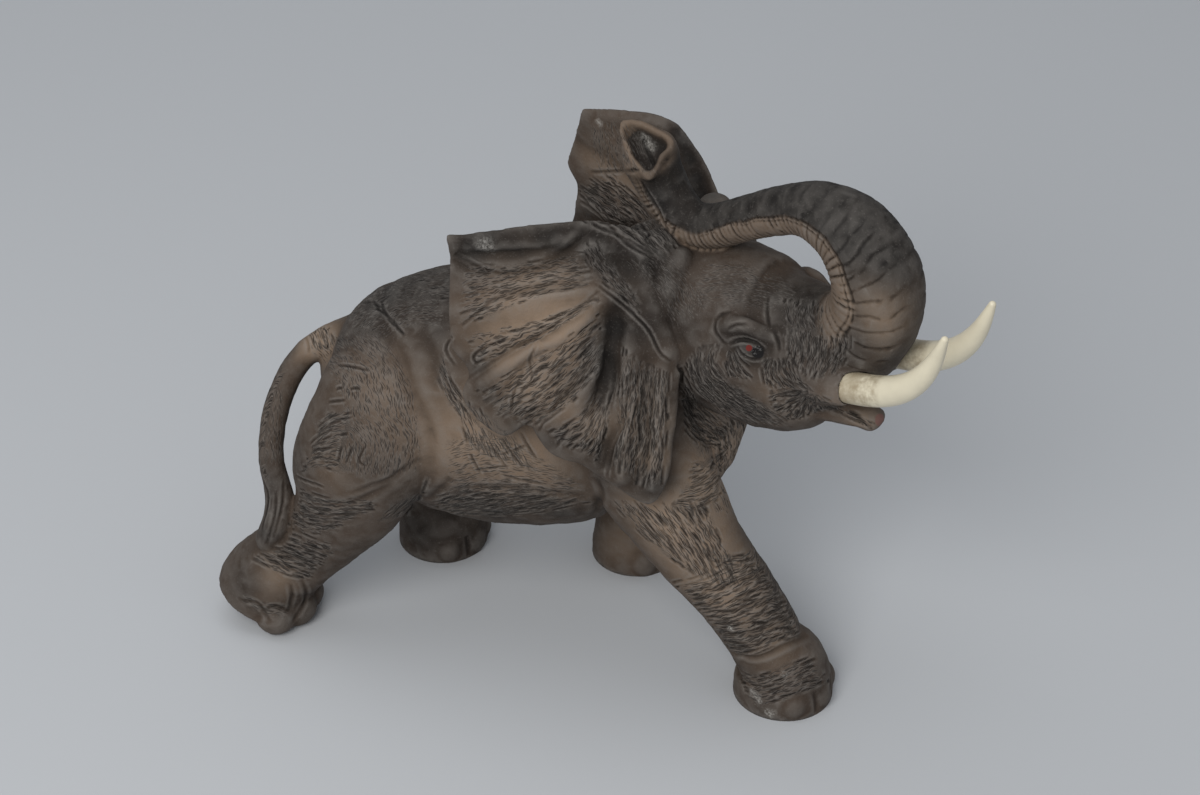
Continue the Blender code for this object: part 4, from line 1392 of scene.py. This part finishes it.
def carved(mesh):
    """The form with everything carved in, then thinned to what one piece may hold."""
    carving = Carving(tree_of(mesh))
    carve_near_ear(carving)
    carve_far_ear(carving)
    carve_face(carving)
    carve_neck_and_chest(carving)
    carve_flank(carving)
    carve_near_legs(carving)
    carve_faint_grain(carving)
    carve_hidden_sides(carving)
    carve_tail(carving)
    points = places(mesh)
    normals = facings(mesh)
    sink, _, _ = carving.at(points, normals)
    ring_sink = trunk_carving(points)[0] + SLIT_DEPTH * nostril_shade(points)[1]
    swell = 0.00022 * soft_noise(points, 0.0045, 21) + 0.00008 * soft_noise(points, 0.0016, 22)
    flat = points[:, 2] < 0.00002
    sink = np.where(flat, 0.0, sink + ring_sink + swell * smooth_step(0.0, 0.002, points[:, 2]))
    moved = points - normals * sink[:, None]
    moved[:, 2] = np.maximum(moved[:, 2], 0.0)
    mesh.vertices.foreach_set("co", moved.ravel())
    mesh.update()
    thing = new_object("carved", mesh)
    thin = thing.modifiers.new("Thin", "DECIMATE")
    mesh.calc_loop_triangles()
    thin.ratio = min(1.0, CASTING_TRIANGLES / len(mesh.loop_triangles))
    return evaluated(thing), carving


# What is painted


def spots_on(tree, spots):
    """Points on the form under (ray, across, up, radius, strength), for airbrushed patches."""
    found = []
    for ray, a, b, radius, strength in spots:
        origin, way = ray(a, b)
        point, normal, _, _ = tree.ray_cast(Vector(origin), Vector(way))
        if point is not None:
            found.append((np.array(point), np.array(normal), radius * SHARE, strength))
    return found


def mist(points, normals, spots):
    """Airbrushed patches, some of the dark ones painted shade: how much of a colour lies on each point."""
    bare = np.ones(len(points))
    for centre, facing, radius, strength in spots:
        near = ((points - centre) ** 2).sum(1) / radius**2
        turned = smooth_step(-0.6, 0.3, normals @ facing)
        bare *= 1.0 - strength * np.exp(-near) * turned
    return 1.0 - bare


def photo_spots(rows):
    return [(photo_ray, *row) for row in rows]


# Airbrushed dark patches; those at the deep hollow between the trunk and the left ear are painted shade
DARK_SPOTS = photo_spots([
    (322, 300, 13, 0.6), (352, 282, 13, 0.8), (395, 270, 13, 0.7), (440, 262, 13, 0.6),
    (470, 242, 8, 0.7), (505, 240, 8, 0.7), (545, 234, 8, 0.8), (585, 230, 9, 0.8), (640, 234, 13, 0.8),
    (668, 250, 12, 0.6), (798, 292, 8, 0.6), (660, 300, 9, 0.5), (680, 330, 9, 0.6), (640, 330, 7, 0.6),
    (620, 322, 6, 0.7), (610, 360, 6, 0.7), (602, 395, 5, 0.6), (478, 368, 5, 0.6), (486, 398, 6, 0.6),
    (512, 424, 7, 0.6), (548, 440, 7, 0.6), (600, 464, 7, 0.6), (640, 486, 7, 0.6), (660, 494, 7, 0.6),
    (670, 440, 6, 0.5), (674, 400, 6, 0.5), (745, 346, 6, 0.8), (760, 352, 6, 0.6), (722, 335, 6, 0.5),
    (700, 400, 9, 0.4), (800, 345, 10, 0.5), (835, 350, 9, 0.5), (820, 300, 8, 0.5), (843, 312, 6, 0.7),
    (860, 340, 7, 0.5), (905, 290, 7, 0.3), (893, 235, 8, 0.3), (690, 196, 7, 0.6), (720, 192, 7, 0.6),
    (760, 180, 7, 0.5), (655, 185, 5, 0.5), (445, 512, 7, 0.6), (500, 514, 7, 0.6), (560, 512, 7, 0.6),
    (345, 420, 9, 0.15), (300, 470, 10, 0.4), (420, 495, 9, 0.4), (270, 480, 6, 0.7), (268, 505, 6, 0.8),
    (264, 535, 6, 0.8), (252, 560, 8, 0.4), (300, 600, 7, 0.4), (470, 545, 9, 0.7), (420, 535, 10, 0.7),
    (630, 525, 8, 0.4), (700, 505, 7, 0.4), (770, 580, 8, 0.3), (745, 640, 8, 0.3), (820, 690, 6, 0.4),
    (760, 716, 6, 0.3), (686, 190, 6, 0.9), (680, 165, 5, 0.8), (700, 215, 5, 0.8), (590, 195, 8, 0.4),
    (640, 230, 9, 0.5), (575, 125, 6, 0.3), (610, 330, 5, 0.9), (604, 352, 5, 0.8), (620, 300, 5, 0.6),
    (606, 376, 5, 0.7), (690, 158, 4, 1.0), (697, 178, 4, 1.0), (700, 196, 4, 1.0), (684, 142, 4, 0.95),
    (676, 132, 3, 0.8), (712, 196, 4, 0.9), (600, 150, 6, 0.4), (850, 200, 7, 0.5), (880, 240, 8, 0.5),
    (905, 270, 8, 0.5), (770, 296, 7, 0.6), (740, 290, 7, 0.5), (470, 256, 5, 0.6), (520, 252, 5, 0.5),
    (560, 246, 5, 0.5), (370, 320, 11, 0.5), (340, 340, 9, 0.4), (430, 300, 9, 0.5), (440, 330, 6, 0.5),
    (452, 370, 6, 0.4), (725, 425, 7, 0.5), (760, 415, 8, 0.5), (800, 400, 7, 0.5), (690, 410, 6, 0.6),
    (640, 262, 8, 0.6), (612, 262, 7, 0.5), (580, 440, 6, 0.5), (620, 450, 6, 0.6), (650, 440, 6, 0.5),
    (246, 585, 7, 0.5), (300, 560, 7, 0.4), (330, 440, 9, 0.3), (360, 470, 9, 0.35), (470, 500, 7, 0.5),
    (530, 502, 7, 0.5), (790, 180, 7, 0.8), (820, 186, 7, 0.8), (850, 205, 7, 0.8), (870, 230, 6, 0.8),
    (895, 262, 6, 0.7), (810, 310, 8, 0.6), (780, 330, 6, 0.5), (700, 380, 8, 0.5), (740, 400, 8, 0.5),
    (480, 240, 5, 0.7), (600, 250, 6, 0.6), (400, 290, 9, 0.5), (380, 275, 9, 0.5), (590, 345, 4, 0.5),
    (640, 420, 5, 0.6), (670, 480, 5, 0.6), (655, 485, 5, 0.6), (600, 480, 5, 0.6),
]) + [
    (left_ray, -40, 110, 14, 0.6), (left_ray, -10, 116, 14, 0.6), (left_ray, 20, 165, 9, 0.7),
    (left_ray, 0, 168, 9, 0.7), (left_ray, 34, 86, 9, 0.6), (left_ray, 10, 100, 9, 0.6),
    (left_ray, -8, 120, 9, 0.6), (left_ray, 32, 112, 8, 0.6), (left_ray, 30, 140, 8, 0.5),
    (rear_ray, 3, 112, 13, 0.6), (rear_ray, 3, 88, 7, 0.6), (front_ray, -6, 160, 10, 0.4),
    (top_ray, -50, 3, 15, 0.7), (top_ray, -30, 3, 15, 0.7), (top_ray, -10, 2, 15, 0.7),
    (top_ray, 10, -2, 15, 0.7),
]

LIGHT_SPOTS = photo_spots([
    (480, 430, 16, 0.45), (530, 460, 14, 0.45), (450, 450, 12, 0.35), (385, 400, 14, 0.25),
    (340, 470, 10, 0.3), (540, 300, 14, 0.5), (570, 335, 10, 0.6), (510, 330, 12, 0.5),
    (520, 380, 10, 0.5), (550, 400, 9, 0.4), (590, 430, 6, 0.5), (630, 430, 7, 0.4), (655, 460, 7, 0.3),
    (720, 470, 12, 0.9), (700, 490, 10, 0.7), (660, 530, 12, 0.5), (720, 580, 12, 0.5),
    (620, 540, 9, 0.4), (312, 340, 7, 0.8), (325, 340, 6, 0.6), (882, 424, 4, 0.9), (865, 416, 5, 0.6),
    (840, 405, 6, 0.4), (780, 400, 8, 0.3), (880, 300, 8, 0.6), (885, 330, 8, 0.6), (630, 185, 7, 0.3),
    (275, 575, 8, 0.4), (720, 430, 8, 0.5), (690, 520, 12, 0.5), (740, 600, 10, 0.5), (700, 560, 10, 0.5),
    (660, 500, 9, 0.5), (740, 500, 10, 0.4), (770, 640, 9, 0.4), (660, 420, 8, 0.35), (650, 455, 8, 0.35),
    (600, 160, 8, 0.4), (715, 455, 9, 0.5),
]) + [
    (left_ray, -50, 70, 16, 0.4), (left_ray, 10, 140, 12, 0.5), (left_ray, 16, 60, 12, 0.4),
    (left_ray, -16, 66, 14, 0.6), (front_ray, 6, 84, 14, 0.6), (rear_ray, 20, 66, 14, 0.3),
]

SCRATCHES = photo_spots([
    (752, 690, 0.7, 0.8), (755, 695, 0.8, 1.0), (759, 701, 0.7, 0.9), (768, 712, 0.8, 1.0),
    (772, 716, 0.6, 0.8), (730, 628, 0.7, 0.9), (785, 675, 0.7, 0.7), (598, 122, 0.6, 0.7),
    (600, 125, 0.5, 0.6), (644, 136, 1.0, 0.5), (648, 142, 1.2, 0.6), (652, 148, 1.0, 0.5),
    (484, 244, 1.8, 0.35), (489, 248, 1.6, 0.3),
])

# Eyes, drawn by their distance from points on the lids' opening: (photo pixel)
EYE_WHITE = (749, 348)
EYE_PUPIL = (758, 352)


def cupping(mesh):
    """How hollow (above 0) or ridged (below 0) the skin is at each point, about -1 to 1."""
    points = places(mesh)
    normals = facings(mesh)
    ends = np.zeros(len(mesh.edges) * 2, int)
    mesh.edges.foreach_get("vertices", ends)
    ends = ends.reshape(-1, 2)
    count = np.bincount(ends.ravel(), minlength=len(points)).astype(float)

    def around(values):
        total = np.zeros_like(values)
        np.add.at(total, ends[:, 0], values[ends[:, 1]])
        np.add.at(total, ends[:, 1], values[ends[:, 0]])
        return total / count[:, None]

    middle = around(points)
    length = np.linalg.norm(points[ends[:, 0]] - points[ends[:, 1]], axis=1).mean()
    bend = ((middle - points) * normals).sum(1) / length
    bend = 0.5 * bend + 0.5 * around(bend[:, None])[:, 0]
    return np.clip(bend * 6.0, -1.0, 1.0)


def paint(mesh, carving, tree):
    """Attributes on the casting's points that its paint is mixed from."""
    points = places(mesh)
    normals = facings(mesh)
    _, wash_and_shade, edge = carving.at(points, normals)
    _, ring_wash_and_shade, band, shade = trunk_carving(points)
    bowl, slit = nostril_shade(points)
    end = np.linalg.norm(points - trunk_frame()[0][-1, :3], axis=1) / TRUNK_TIP_RADIUS
    rim = smooth_step(1.6, 1.2, end) * (1 - bowl)
    bend = cupping(mesh)
    dark = mist(points, normals, spots_on(tree, DARK_SPOTS))
    light = mist(points, normals, spots_on(tree, LIGHT_SPOTS))
    # The trunk's shade, and painted shade that deepens into the hollow of the trunk's end
    dark = 1 - (1 - dark) * (1 - shade) * (1 - 0.75 * bowl)
    # Painted shade where the skin faces down, clear of the ground
    under = smooth_step(-0.3, -0.9, normals[:, 2]) * smooth_step(0.004, 0.02, points[:, 2])
    layers = {
        # Dark wash and painted shade in the carved lines and the trunk's rings, painted shade in every hollow
        # by how the skin bends, and along the nostril slit
        "wash_and_shade": np.clip(np.maximum(0.8 * wash_and_shade, ring_wash_and_shade) + 0.55 * np.clip(bend, 0, 1) + slit, 0, 1),
        "edge": np.clip(edge * 0.5 + np.clip(-bend, 0, 1), 0, 1) * (1 - 0.8 * rim),
        # Airbrushed dark, the trunk's shade, and painted shade in the trunk's end and on the undersides
        "spray_and_shade": np.clip(dark * (1 - 0.8 * band) + 0.35 * under, 0, 1),
        "tan": np.clip(light + 0.32 * band + 0.3 * rim, 0, 1),
        "scratch": mist(points, normals, spots_on(tree, SCRATCHES)),
    }
    for name, values in layers.items():
        layer = mesh.attributes.new(name, "FLOAT", "POINT")
        layer.data.foreach_set("value", values.astype(np.float32))
    for number in (0, 1):
        layer = mesh.attributes.new(f"grain_{number}", "FLOAT_VECTOR", "POINT")
        layer.data.foreach_set("vector", carving.grain(points, normals, number).astype(np.float32).ravel())


# Materials


class Nodes:
    """Short ways to wire a material."""

    def __init__(self, name):
        self.material = bpy.data.materials.new(name)
        self.material.use_nodes = True
        self.tree = self.material.node_tree
        self.shader = self.tree.nodes["Principled BSDF"]

    def add(self, kind, **inputs):
        node = self.tree.nodes.new(kind)
        for name, value in inputs.items():
            self.put(node.inputs[name.replace("_", " ")], value)
        return node

    def put(self, socket, value):
        if isinstance(value, bpy.types.NodeSocket):
            self.tree.links.new(value, socket)
        elif isinstance(value, tuple) and len(value) == 3 and socket.type == "RGBA":
            socket.default_value = (*value, 1.0)
        else:
            socket.default_value = value

    def layer(self, name):
        node = self.add("ShaderNodeAttribute")
        node.attribute_name = name
        return node.outputs["Fac"]

    def sums(self, operation, first, second=0.0, clamp=False):
        node = self.add("ShaderNodeMath")
        node.operation = operation
        node.use_clamp = clamp
        self.put(node.inputs[0], first)
        self.put(node.inputs[1], second)
        return node.outputs[0]

    def mix(self, share, first, second):
        node = self.add("ShaderNodeMix")
        node.data_type = "RGBA"
        self.put(node.inputs["Factor"], share)
        self.put(node.inputs["A"], first)
        self.put(node.inputs["B"], second)
        return node.outputs["Result"]

    def noise(self, scale, detail=3.0, rough=0.55, spot=None):
        node = self.add("ShaderNodeTexNoise", Scale=scale, Detail=detail, Roughness=rough)
        node.noise_dimensions = "3D"
        self.tree.links.new(spot or self.place(), node.inputs["Vector"])
        return node.outputs["Fac"]

    def place(self):
        return self.add("ShaderNodeTexCoord").outputs["Object"]

    def ramp(self, value, low, high):
        node = self.add("ShaderNodeMapRange")
        node.clamp = True
        self.put(node.inputs["Value"], value)
        node.inputs["From Min"].default_value = low
        node.inputs["From Max"].default_value = high
        return node.outputs["Result"]

    def near(self, point, radius):
        """1 at a point of the model, 0 beyond the radius, with a crisp edge."""
        node = self.add("ShaderNodeVectorMath")
        node.operation = "DISTANCE"
        self.tree.links.new(self.place(), node.inputs[0])
        node.inputs[1].default_value = point
        return self.ramp(node.outputs["Value"], radius, radius * 0.85)


BROWN = (0.073, 0.053, 0.040)
TAN = (0.300, 0.216, 0.152)
# Airbrushed dark, also the colour of painted shade
SPRAY_AND_SHADE = (0.012, 0.011, 0.0105)
PALE = (0.200, 0.184, 0.168)
# Dark wash, also the colour of painted shade in grooves and hollows
WASH_AND_SHADE = (0.008, 0.0065, 0.0055)
IRIS = (0.130, 0.018, 0.014)
PUPIL = (0.010, 0.009, 0.009)
LIP_PINK = (0.210, 0.090, 0.080)
SCRATCH = (0.560, 0.540, 0.500)
IVORY = (0.700, 0.640, 0.490)
# Stain, also the colour of painted shadow next to the lip
IVORY_STAIN_AND_SHADE = (0.260, 0.200, 0.120)


# (layer of hatching, length, width) of the fine strokes, in metres
STROKE_SIZES = ((0, 0.0078, 0.00085), (1, 0.0078, 0.00085), (0, 0.0046, 0.00058), (1, 0.0046, 0.00058))


def strokes(n, number, long, wide):
    """Fine strokes of a tool, drawn in the coordinates that a layer of hatching gives the skin."""
    layer = n.add("ShaderNodeAttribute")
    layer.attribute_name = f"grain_{number}"
    parts = n.add("ShaderNodeSeparateXYZ")
    n.put(parts.inputs[0], layer.outputs["Vector"])
    wobble = n.sums("MULTIPLY", n.sums("SUBTRACT", n.noise(260.0, 2.0, 0.5), 0.5), 0.0022)
    spot = n.add("ShaderNodeCombineXYZ")
    n.put(spot.inputs[0], n.sums("DIVIDE", parts.outputs[0], long))
    n.put(spot.inputs[1], n.sums("DIVIDE", n.sums("ADD", parts.outputs[1], wobble), wide))
    cells = n.add("ShaderNodeTexVoronoi", Scale=1.0)
    cells.voronoi_dimensions = "2D"
    n.put(cells.inputs["Vector"], spot.outputs[0])
    reach = n.sums("MULTIPLY", parts.outputs[2], 0.42)
    depth = n.sums("SUBTRACT", reach, cells.outputs["Distance"])
    return n.ramp(depth, 0.0, 0.14), n.ramp(depth, -0.14, -0.02)


def bisque_material(eyes, lip):
    """Matt airbrushed bisque, with painted shade in its grooves, hollows and undersides. Eyes are (iris
    point, pupil point) pairs, lip is a point to tint pink.
    """
    n = Nodes("bisque")
    wash_and_shade = n.layer("wash_and_shade")
    edge = n.layer("edge")
    spray_and_shade = n.layer("spray_and_shade")
    blotch = n.noise(55.0, 4.0, 0.6)
    grain = n.noise(1400.0, 2.0, 0.7)
    speck = n.noise(2600.0, 1.0, 0.5)
    base = n.mix(n.ramp(blotch, 0.35, 0.70), BROWN, tuple(0.8 * part for part in BROWN))
    base = n.mix(n.layer("tan"), base, TAN)
    # Airbrushed dark and painted shade, mottled
    mottled = n.sums("ADD", spray_and_shade, n.sums("MULTIPLY", n.sums("SUBTRACT", blotch, 0.5), 0.5), True)
    base = n.mix(n.sums("MULTIPLY", mottled, 0.96), base, SPRAY_AND_SHADE)
    base = n.mix(n.sums("MULTIPLY", n.ramp(grain, 0.58, 0.74), 0.20), base, PALE)
    base = n.mix(n.sums("MULTIPLY", edge, 0.5), base, PALE)
    grooves = None
    for number, long, wide in STROKE_SIZES:
        deep, beside = strokes(n, number, long, wide)
        # In each fine stroke: pale beside it, dark wash and painted shade inside it
        base = n.mix(n.sums("MULTIPLY", n.sums("SUBTRACT", beside, deep, True), 0.26), base, PALE)
        base = n.mix(n.sums("MULTIPLY", deep, 0.62), base, WASH_AND_SHADE)
        grooves = deep if grooves is None else n.sums("MAXIMUM", grooves, deep)
    # Dark wash and painted shade in carved lines and hollows
    base = n.mix(n.sums("MULTIPLY", n.ramp(wash_and_shade, 0.08, 0.85), 0.85), base, WASH_AND_SHADE)
    base = n.mix(n.sums("MULTIPLY", n.ramp(speck, 0.72, 0.80), 0.5), base, PALE)
    base = n.mix(n.sums("MULTIPLY", n.layer("scratch"), n.ramp(grain, 0.35, 0.6)), base, SCRATCH)
    base = n.mix(n.sums("MULTIPLY", n.near(lip, 0.0024), 0.6), base, LIP_PINK)
    gloss = None
    for iris, pupil in eyes:
        base = n.mix(n.near(iris, 0.0010), base, IRIS)
        dark = n.near(pupil, 0.0020)
        base = n.mix(dark, base, PUPIL)
        gloss = dark if gloss is None else n.sums("ADD", gloss, dark, True)
    n.put(n.shader.inputs["Base Color"], base)
    rough = n.sums("ADD", 0.66, n.sums("MULTIPLY", grain, 0.14))
    rough = n.sums("SUBTRACT", rough, n.sums("MULTIPLY", gloss, 0.6))
    n.put(n.shader.inputs["Roughness"], rough)
    n.shader.inputs["Specular IOR Level"].default_value = 0.15
    bump = n.add("ShaderNodeBump", Strength=0.5, Distance=0.0004)
    height = n.sums("ADD", n.noise(900.0, 3.0, 0.6), n.sums("MULTIPLY", n.noise(260.0, 2.0, 0.5), 1.6))
    height = n.sums("SUBTRACT", height, n.sums("MULTIPLY", grooves, 1.5))
    n.put(bump.inputs["Height"], height)
    n.put(n.shader.inputs["Normal"], bump.outputs["Normal"])
    return n.material


def ivory_material(name, root):
    n = Nodes(name)
    cloud = n.noise(90.0, 3.0, 0.55)
    base = n.mix(n.ramp(cloud, 0.4, 0.75), IVORY, tuple(0.86 * part for part in IVORY))
    stain = n.sums("MULTIPLY", n.near(root, 0.016), n.ramp(n.noise(240.0, 3.0, 0.7), 0.36, 0.62))
    base = n.mix(n.sums("MULTIPLY", stain, 0.7), base, IVORY_STAIN_AND_SHADE)
    # Stain and painted shadow in a band next to the lip
    base = n.mix(n.sums("MULTIPLY", n.near(root, 0.009), 0.45), base, IVORY_STAIN_AND_SHADE)
    n.put(n.shader.inputs["Base Color"], base)
    n.shader.inputs["Roughness"].default_value = 0.36
    n.shader.inputs["Specular IOR Level"].default_value = 0.5
    bump = n.add("ShaderNodeBump", Strength=0.15, Distance=0.0003)
    n.put(bump.inputs["Height"], n.noise(500.0, 2.0, 0.5))
    n.put(n.shader.inputs["Normal"], bump.outputs["Normal"])
    return n.material


# The pieces


def smooth_shade(mesh):
    mesh.polygons.foreach_set("use_smooth", np.ones(len(mesh.polygons), bool))
    mesh.update()


def moved_to_model(mesh):
    mesh.transform(Matrix.Translation(Vector(SHIFT)))


def seen_at(tree, ray, a, b):
    """The model's point that a ray meets."""
    origin, way = ray(a, b)
    point, _, _, _ = tree.ray_cast(Vector(origin), Vector(way))
    return Vector(point) + Vector(SHIFT)


def mirrored_in_head(point):
    """The same spot on the other side of the head."""
    side = Vector(head_side())
    centre = Vector(head_point(0, 0, 0)) + Vector(SHIFT)
    return point - 2 * (point - centre).dot(side) * side


def add_casting():
    mesh, carving = carved(cut_form(melted_form()))
    tree = tree_of(mesh)
    paint(mesh, carving, tree)
    iris = seen_at(tree, photo_ray, *EYE_WHITE)
    pupil = seen_at(tree, photo_ray, *EYE_PUPIL)
    lip = Vector(head_point(75.5, 0, 120.5)) + Vector(SHIFT)
    eyes = [(iris, pupil), (mirrored_in_head(iris), mirrored_in_head(pupil))]
    mesh.materials.clear()
    mesh.materials.append(bisque_material(eyes, lip))
    moved_to_model(mesh)
    smooth_shade(mesh)
    casting = new_object("casting", mesh)
    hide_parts("elephant")
    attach(casting, "root")


def add_tusk(name, node, side):
    rings = tusk_rings(side, SOCKET_DEPTH, TUSK_LENGTH, 0.0, 70, 48)
    mesh = mesh_of(name, lambda made: bridge(made, rings))
    root = Vector(head_point(TUSK_ROOT[0], side * TUSK_ROOT[1], TUSK_ROOT[2])) + Vector(SHIFT)
    mesh.materials.append(ivory_material("ivory_" + name, root))
    moved_to_model(mesh)
    smooth_shade(mesh)
    tusk = new_object(name, mesh)
    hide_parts(node)
    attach(tusk, "root")


# The studio


FLOOR = (0.50, 0.515, 0.535)
SWEEP_REACH = 2.0
SWEEP_RADIUS = 0.5
SWEEP_HEIGHT = 2.4
SWEEP_WIDTH = 6.0


def add_studio():
    """A pale floor that curves up into a wall, far enough off for views of the figure's back."""
    n = Nodes("backdrop")
    n.put(n.shader.inputs["Base Color"], FLOOR)
    n.shader.inputs["Roughness"].default_value = 0.95
    n.shader.inputs["Specular IOR Level"].default_value = 0.1
    azimuth = CAMERA_AZIMUTH
    away = np.array([-math.sin(azimuth), math.cos(azimuth), 0.0])
    aside = np.array([math.cos(azimuth), math.sin(azimuth), 0.0])
    half = SWEEP_WIDTH / 2
    curve = SWEEP_RADIUS
    sweep = [(-SWEEP_REACH, 0.0), (SWEEP_REACH, 0.0)]
    for angle in np.linspace(0.0, math.pi / 2, 13)[1:]:
        sweep.append((SWEEP_REACH + curve * math.sin(angle), curve - curve * math.cos(angle)))
    sweep.append((SWEEP_REACH + curve, SWEEP_HEIGHT))

    def fill(made):
        rows = []
        for run, up in sweep:
            middle = away * run + np.array([0.0, 0.0, up])
            rows.append([made.verts.new(middle + aside * s) for s in (-half, half)])
        for a, b in zip(rows, rows[1:]):
            made.faces.new((a[0], a[1], b[1], b[0]))

    mesh = mesh_of("backdrop", fill)
    mesh.materials.append(n.material)
    smooth_shade(mesh)
    new_object("backdrop", mesh)


def add_light(name, place, size, power, colour):
    lamp = bpy.data.lights.new(name, "AREA")
    lamp.shape = "DISK"
    lamp.size = size
    lamp.energy = power
    lamp.color = colour
    thing = bpy.data.objects.new(name, lamp)
    thing.location = place
    aim = Vector((0.0, 0.0, 0.08)) - Vector(place)
    thing.rotation_euler = aim.to_track_quat("-Z", "Y").to_euler()
    bpy.context.scene.collection.objects.link(thing)


def add_lights():
    world = bpy.data.worlds.new("sky")
    bpy.context.scene.world = world
    world.use_nodes = True
    sky = world.node_tree.nodes["Background"]
    sky.inputs["Color"].default_value = (0.93, 0.96, 1.0, 1.0)
    sky.inputs["Strength"].default_value = 0.45
    add_light("key", (-0.15, -1.0, 0.95), 0.8, 11.0, (1.0, 0.985, 0.96))
    add_light("top", (-0.3, 0.1, 1.5), 1.2, 4.0, (0.96, 0.98, 1.0))


def add_camera():
    right, up, back = camera_axes()
    lens = bpy.data.cameras.new("camera")
    lens.lens = CAMERA_LENS
    lens.sensor_width = CAMERA_SENSOR
    lens.clip_start = 0.05
    lens.clip_end = 20.0
    camera = bpy.data.objects.new("camera", lens)
    place = Matrix.Translation(Vector(CAMERA_TARGET + SHIFT + back * CAMERA_DISTANCE))
    camera.matrix_world = place @ Matrix(np.column_stack([right, up, back]).tolist()).to_4x4()
    bpy.context.scene.collection.objects.link(camera)
    bpy.context.scene.camera = camera


add_casting()
add_tusk("right_tusk", "tusk_right", RIGHT)
add_tusk("left_tusk", "tusk_left", LEFT)
add_studio()
add_lights()
add_camera()
bpy.context.scene.view_settings.view_transform = "Standard"
